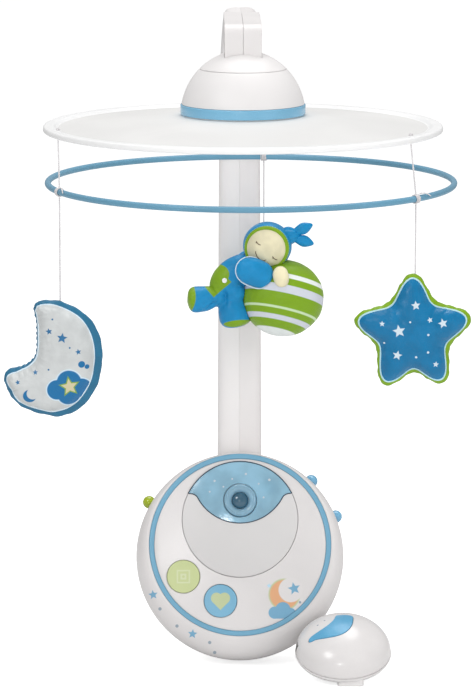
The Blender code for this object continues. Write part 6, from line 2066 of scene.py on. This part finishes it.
class SoftForm:
    """A stuffed form of the doll that tapers from one end to the other."""

    def __init__(self, at: Flat, depth: float, turn: float, half: float, radii: Flat, flatten: float,
                 blunt: Flat = (2.0, 2.0)) -> None:
        """Place the form by its middle from the doll's knot, its depth, its turn and its sizes.

        Args:
            at: middle, to the right of and above the knot.
            depth: middle behind the doll's own plane.
            turn: direction of its axis in the XZ plane, in degrees.
            half: half its length.
            radii: radius at its first and its last end.
            flatten: its depth as a share of its height.
            blunt: power that rounds its first and its last end; 2 is an ellipse, more is blunter.
        """
        knot = DOLL_LINE.knot
        place = Matrix.Translation((knot.x + at[0], knot.y + depth, knot.z + at[1]))
        self.place = place @ Matrix.Rotation(math.pi / 2 - math.radians(turn), 4, "Y")
        self.back = self.place.inverted()
        self.half, self.radii, self.flatten, self.blunt = half, radii, flatten, blunt

    def radius(self, along: float) -> float:
        """Radius at a share along the axis, from -1 to 1."""
        first, last = self.radii
        return first + (last - first) * (min(1.0, max(-1.0, along)) + 1.0) / 2

    def wide(self, along: float) -> float:
        """Share of that radius that the rounded ends leave."""
        power = self.blunt[0] if along < 0 else self.blunt[1]
        return math.sqrt(max(0.0, 1.0 - abs(along) ** power))

    def fit(self, x: float, y: float, z: float) -> Vector:
        """World place of a point of the unit ball on this form."""
        wide = self.radius(z)
        return self.place @ Vector((x * wide, y * wide * self.flatten, z * self.half))

    def fit_way(self, way: Vector, scale: float) -> Vector:
        """World place on this form, scaled, in a direction from its middle."""
        return self.fit(way.x * scale, way.y * scale, way.z * scale)

    def mesh(self, around: int = 56, along: int = 40,
             swell: Callable[[float, float], Flat] | None = None) -> bpy.types.Mesh:
        """The form as a closed mesh.

        Args:
            around: facets round its axis.
            along: facets along its axis.
            swell: shares of its height and depth at a share along the axis and a turn about it.

        Returns:
            The mesh.
        """
        rings = []
        for j in range(along + 1):
            z = -math.cos(math.pi * j / along)
            ring = []
            for b in turns(around) if 0 < j < along else [0.0]:
                high, deep = swell(z, b) if swell else (self.wide(z),) * 2
                ring.append(self.fit(high * math.cos(b), deep * math.sin(b), z))
            rings.append(ring)
        return skin(rings)

    def pushed(self, place: Vector, gap: float) -> Vector:
        """A world point moved out to this form's surface, if it lies inside.

        Args:
            place: the point.
            gap: distance that it keeps from the surface.

        Returns:
            The point, moved or not.
        """
        local = self.back @ place
        for _ in range(3):
            wide = self.radius(local.z / (self.half + gap)) + gap
            unit = Vector((local.x / wide, local.y / (wide * self.flatten), local.z / (self.half + gap)))
            if unit.length >= 1.0:
                break
            local = local / max(unit.length, 0.05)
        return self.place @ local


@dataclass
class Doll:
    """Sleeping doll in a hooded suit that hugs a striped ball."""

    face_axis: tuple[float, float, float] = (-0.111, -0.990, -0.081)
    face_half: float = 56.4
    face_scale: float = 0.965
    drawing_middle: Flat = (956.0, 401.0)
    drawing_scale: Flat = (9890.0, 9750.0)
    stitch_lift: float = 1.047
    trim_half: float = 64.4
    trim_shift: float = 2.6
    trim_way: float = 146.6

    def build(self) -> None:
        """Make the ball, the head, the suit, the hands and the small sewn details."""
        self.ball = SoftForm((0.0195, -0.1430), 0.0, 90.0, 0.0388, (0.0409, 0.0409), 0.743)
        self.head = SoftForm((0.0037, -0.0900), 0.0, 90.0, 0.0241, (0.0241, 0.0241), 0.90)
        arms = {s: SoftForm((-0.0096, -0.1135), d, -23.0, 0.0192, (0.0142, 0.0142), 0.62, (2.6, 3.0))
                for s, d in (("front", -0.0215), ("back", 0.0215))}
        hands = {s: SoftForm((0.0167, -0.1176), d, -80.0, 0.0108, (0.0080, 0.0076), 0.70, (2.4, 2.4))
                 for s, d in (("front", -0.0260), ("back", 0.0260))}
        self.stuffed("striped_ball", self.ball, self.ball_cloth(), "green_cloth", "play_ball", (), 0.0003)
        self.hooded_head()
        body = self.suit()
        for side, arm in arms.items():
            self.stuffed(f"suit_{side}_sleeve", arm, BLUE_CLOTH, "blue_cloth", f"doll_{side}_arm",
                         (self.ball, body, self.head))
            self.stuffed(f"{side}_hand", hands[side], CREAM_CLOTH, "cream_cloth", f"doll_{side}_hand",
                         (self.ball, self.head, arm), 0.0004)
            self.sleeve_piping(side, arm)
        self.tails()
        self.stitches()

    def stuffed(self, name: str, form: SoftForm, look: Cloth, slot: str, node: str,
                against: tuple[SoftForm, ...], dents: float = 0.0007) -> None:
        """Make one stuffed form, pressed against the larger ones.

        Args:
            name: piece name.
            form: its shape.
            look: its cloth.
            slot: the record's slot; not used.
            node: solid that it replaces.
            against: forms that it lies against.
            dents: depth of its soft dents.
        """
        part = piece(name, form.mesh(), look, sharp=180.0)
        self.press(part, against, dents)
        settle(part, "doll_hanger", slot, node)

    def press(self, part: bpy.types.Object, against: tuple[SoftForm, ...], dents: float) -> None:
        """Give a stuffed piece soft dents and press it against other forms.

        Args:
            part: the piece.
            against: forms that it lies against.
            dents: depth of the dents.
        """
        normals = [vert.normal.copy() for vert in part.data.vertices]
        for vert, normal in zip(part.data.vertices, normals):
            dent = noise.noise(vert.co * 60.0) + 0.5 * noise.noise(vert.co * 140.0)
            place = vert.co + normal * dents * dent
            for other in against:
                place = other.pushed(place, 0.0004)
            vert.co = place
        part.data.update()

    def suit(self) -> SoftForm:
        """Body and legs of the suit as one sewn piece, with its creases and its button.

        Returns:
            The body's own form, which the sleeves lie against.
        """
        body = SoftForm((-0.0308, -0.1190), 0.0, 42.0, 0.0270, (0.0175, 0.0150), 0.88)
        forms = (body,
                 SoftForm((-0.0283, -0.1368), 0.0, 90.0, 0.0130, (0.0130, 0.0125), 1.0),
                 SoftForm((-0.0462, -0.1405), 0.0, 90.0, 0.0112, (0.0112, 0.0112), 1.05),
                 SoftForm((-0.0596, -0.1435), 0.0, 184.0, 0.0172, (0.0112, 0.0142), 0.92, (2.0, 5.0)),
                 SoftForm((-0.0295, -0.1553), 0.0, -80.0, 0.0175, (0.0150, 0.0174), 0.88, (2.0, 4.5)))
        part = piece("doll_suit", joined([form.mesh() for form in forms]), self.suit_cloth(), sharp=180.0)
        merge = part.modifiers.new("merge", "REMESH")
        merge.mode, merge.voxel_size = "VOXEL", 0.0009
        blend = part.modifiers.new("blend", "SMOOTH")
        blend.factor, blend.iterations = 0.5, 16
        bake(part)
        part.data.shade_smooth()
        self.press(part, (self.ball, self.head), 0.0006)
        self.crease(part)
        settle(part, "doll_hanger", "blue_cloth", "doll_body", "doll_lower_leg", "doll_raised_leg")
        self.hip_button(part)
        return body

    def crease(self, part: bpy.types.Object) -> None:
        """Press the suit's folds into its front and back.

        Args:
            part: the suit.
        """
        knot = DOLL_LINE.knot
        folds = (((-38.4, -130.5), (-37.9, -147.5)), ((-24.5, -123.0), (-18.5, -132.5)),
                 ((-57.0, -151.5), (-45.0, -143.5)), ((-52.5, -131.5), (-46.0, -141.0)))
        normals = [vert.normal.copy() for vert in part.data.vertices]
        for vert, normal in zip(part.data.vertices, normals):
            spot = Vector(((vert.co.x - knot.x) * 1000, (vert.co.z - knot.z) * 1000))
            move = 0.0
            for start, end in folds:
                run = Vector(end) - Vector(start)
                share = min(1.0, max(0.0, (spot - Vector(start)).dot(run) / run.length_squared))
                away = (spot - Vector(start) - run * share).length
                fade = 1.0 - 0.7 * abs(2.0 * share - 1.0) ** 2
                ridge = 0.0003 * math.exp(-((away - 3.2) / 1.6) ** 2)
                move += fade * (ridge - 0.0012 * math.exp(-(away / 1.3) ** 2))
            vert.co += normal * move
        part.data.update()

    def hip_button(self, suit: bpy.types.Object) -> None:
        """White button on the hip's patch.

        Args:
            suit: the suit's piece.
        """
        spot = Vector((DOLL_LINE.knot.x - 0.0412, DOLL_LINE.knot.z - 0.1233))
        near = [vert for vert in suit.data.vertices if (Vector((vert.co.x, vert.co.z)) - spot).length < 0.002]
        front = min(near, key=lambda vert: vert.co.y)
        profile = fillet([(0.0, 0.0008), (0.0013, 0.0008), (0.0018, 0.0012), (0.0024, 0.0012), (0.0026, 0.0),
                          (0.0022, -0.0010), (0.0, -0.0010)], 0.0004, 4, False)
        place = Matrix.Translation(front.co) @ front.normal.to_track_quat("Z", "Y").to_matrix().to_4x4()
        button = piece("hip_button", lathe(profile, 32), LIP_WHITE, place=place)
        settle(button, "doll_hanger", "white_plastic")

    def ball_cloth(self) -> Cloth:
        """Green and grey-white stripes across a leaning axis."""
        green, white, grey = GREEN_CLOTH.colour, (0.80, 0.84, 0.82), (0.62, 0.65, 0.72)
        pale = (0.58, 0.74, 0.46)
        bands = ((-1.0, white), (-0.0332, green), (-0.0265, grey), (-0.0222, green), (-0.0166, pale),
                 (-0.0144, green), (-0.0009, grey), (0.0073, green), (0.0144, white), (0.0191, green))
        axis = Vector((0.20, 0.35, 0.90)).normalized()
        return Cloth("ball_stripe_cloth", green, 0.34, 0.02, coat=0.2,
                     stripes=(tuple(self.ball.place.translation), tuple(axis), bands))

    def suit_cloth(self) -> Cloth:
        """Blue suit with a green patch on the hip and green soles."""
        green = GREEN_CLOTH.colour
        marks = (block(-49.4, -123.6, 12.0, green, 1.0, 42.4), dot(-42.9, -116.8, 8.3, green),
                 dot(-26.8, -166.8, 13.6, green, 0.28, 6.0), dot(-79.4, -143.6, 18.0, green, 0.60, 77.0))
        return Cloth("suit_patch_cloth", BLUE_CLOTH.colour, 0.34, 0.02, coat=0.2,
                     print=Printing(tuple(DOLL_LINE.knot), math.pi / 2, marks))

    def face_way(self, degrees: float, around: float) -> Vector:
        """Direction from the head's middle at an angle from the face's axis and a turn about it."""
        axis = Vector(self.face_axis).normalized()
        side = axis.cross(Vector((0.0, 0.0, 1.0))).normalized()
        up = side.cross(axis)
        a = math.radians(degrees)
        return axis * math.cos(a) + (side * math.cos(around) + up * math.sin(around)) * math.sin(a)

    def trim_edge(self, around: float) -> float:
        """Angle of the hood trim's outer edge at a turn about the face's axis."""
        return self.trim_half + self.trim_shift * math.cos(around - math.radians(self.trim_way))

    def hooded_head(self) -> None:
        """Head with its face, the green trim and the blue hood, and the sewn features."""
        rows = [(0, k / 14, self.face_scale) for k in range(15)]
        rows += [(1, t, s) for t, s in ((0.0, 1.0), (0.12, 1.040), (0.4, 1.055), (0.8, 1.048), (1.0, 1.025))]
        rows += [(2, t / 22, 1.006 if t == 0 else 1.014) for t in range(23)]
        count, rings = 72, []
        for part, share, scale in rows:
            ring = []
            pole = (part, share) in ((0, 0.0), (2, 1.0))
            for b in [0.0] if pole else turns(count):
                edge = self.trim_edge(b)
                start, end = ((0.0, self.face_half), (self.face_half + 0.4, edge), (edge + 0.5, 180.0))[part]
                way = self.face_way(start + (end - start) * share, b)
                ring.append(self.head.fit_way(way, scale))
            rings.append(ring)
        head = piece("hooded_head", skin(rings), CREAM_FACE, GREEN_CLOTH, BLUE_CLOTH, sharp=60.0)
        for face in head.data.polygons:
            face.material_index = rows[face.index // count + 1][0]
        self.press(head, (self.ball,), 0.00025)
        settle(head, "doll_hanger", "cream_cloth", "doll_head")
        strokes = (((843, 328), (850, 344), (866, 358), (888, 366)), ((850, 342), (838, 346)),
                   ((1003, 474), (1012, 494), (1030, 510), (1054, 517)), ((1012, 492), (1000, 496)),
                   ((836, 424), (838, 450), (852, 484), (880, 512), (914, 523), (944, 512)))
        threads = []
        for stroke in strokes:
            path = []
            for (x1, y1), (x2, y2) in zip(stroke, stroke[1:]):
                for t in (i / 8 for i in range(8)):
                    path.append(self.on_face(x1 + (x2 - x1) * t, y1 + (y2 - y1) * t))
            path.append(self.on_face(*stroke[-1]))
            threads.append(tube(path, 0.00044, 6, taper=True))
        settle(piece("face_threads", joined(threads), THREAD, sharp=180.0), "doll_hanger", "cream_cloth")

    def on_face(self, x: float, y: float) -> Vector:
        """World place on the face of a point of the face's drawing, in its own units."""
        unit = self.head.half * self.face_scale
        (middle_x, middle_y), (wide, high) = self.drawing_middle, self.drawing_scale
        across, up = (x - middle_x) / wide, (middle_y - y) / high
        deep = math.sqrt(max(0.02, 1.0 - (across ** 2 + up ** 2) / unit ** 2))
        return self.head.place.translation + Vector((across, -unit * self.head.flatten * deep - 0.0001, up))

    def sleeve_piping(self, side: str, arm: SoftForm) -> None:
        """White piping round the sleeve's edge.

        Args:
            side: front or back.
            arm: the sleeve's form.
        """
        sign = -1.0 if side == "front" else 1.0
        path, start, sweep, steps = [], 262.0, 236.0, 72
        for i in range(steps + 1):
            a = math.radians(start - sweep * i / steps)
            along = math.cos(a)
            path.append(arm.fit(math.copysign(arm.wide(along), math.sin(a)) * 1.02, sign * 0.20, along))
        path = [self.ball.pushed(self.head.pushed(point, 0.0008), 0.0008) for point in path]
        cord = piece(f"{side}_sleeve_piping", tube(path, 0.0006, 8, taper=True), WHITE_PIPING, sharp=180.0)
        settle(cord, "doll_hanger", "blue_cloth")

    def tails(self) -> None:
        """Two leaf-shaped tails of the hood and the gathered knot at their root."""
        def leaf(z: float, b: float) -> Flat:
            wide = math.sqrt(max(0.0, 1.0 - z * z)) * (0.72 + 0.36 * math.exp(-((z - 0.25) / 0.55) ** 2))
            fold = 1.0 - 0.34 * math.exp(-(math.cos(b) / 0.22) ** 2) * max(0.0, 0.6 - z) / 1.6
            return wide, wide * fold

        def gather(z: float, b: float) -> Flat:
            return ((1.0 + 0.06 * math.cos(9 * b)) * math.sqrt(max(0.0, 1.0 - z * z)),) * 2

        leaves = (("upper", (0.0374, -0.0735), 24.0), ("lower", (0.0381, -0.0846), -17.0))
        pieces = []
        for name, at, turn in leaves:
            form = SoftForm(at, 0.0, turn, 0.0126, (0.0056, 0.0056), 0.72)
            pieces.append((f"hood_{name}_leaf", form.mesh(40, 36, leaf), (f"hood_{name}_tail",)))
        knot = SoftForm((0.0262, -0.0797), 0.0, 3.0, 0.0092, (0.0106, 0.0070), 0.80)
        pieces.append(("hood_gather", knot.mesh(54, 22, gather), ()))
        for name, mesh, nodes in pieces:
            part = piece(name, mesh, BLUE_CLOTH, sharp=180.0)
            self.press(part, (self.head,), 0.0002)
            settle(part, "doll_hanger", "blue_cloth", *nodes)

    def stitches(self) -> None:
        """Stitches along the hood trim's outer edge, where the ball leaves it free."""
        points, aims = [], []
        for b in turns(54):
            edge = self.trim_edge(b) - 1.4
            spot = self.head.fit_way(self.face_way(edge, b), self.stitch_lift)
            if (self.ball.pushed(spot, 0.001) - spot).length < 1e-6:
                ahead = self.head.fit_way(self.face_way(edge, b + 0.02), self.stitch_lift)
                points.append(spot)
                aims.append(ahead - spot)
        strew("trim_stitches", points, aims, (0.00035, 0.0016), PIPING, "doll_hanger", "green_cloth")


# ---------------------------------------------------------------- the whole object

def main() -> None:
    """Load the frame and build every sub-assembly."""
    logging.basicConfig(level=logging.INFO, format="%(name)s: %(message)s")
    FRAME.update(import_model())
    Studio().build()
    Strings().build()
    Canopy().build()
    Dome().build()
    Cane().build()
    Panel().build()
    Clamp().build()
    Remote().build()
    star_cushion().build("star_hanger", "blue_cloth", "star_toy", 5.0, 0.0030)
    moon_cushion().build("moon_hanger", "satin", "moon_toy", 5.0, 0.0026)
    Doll().build()


if __name__ == "__main__":
    main()
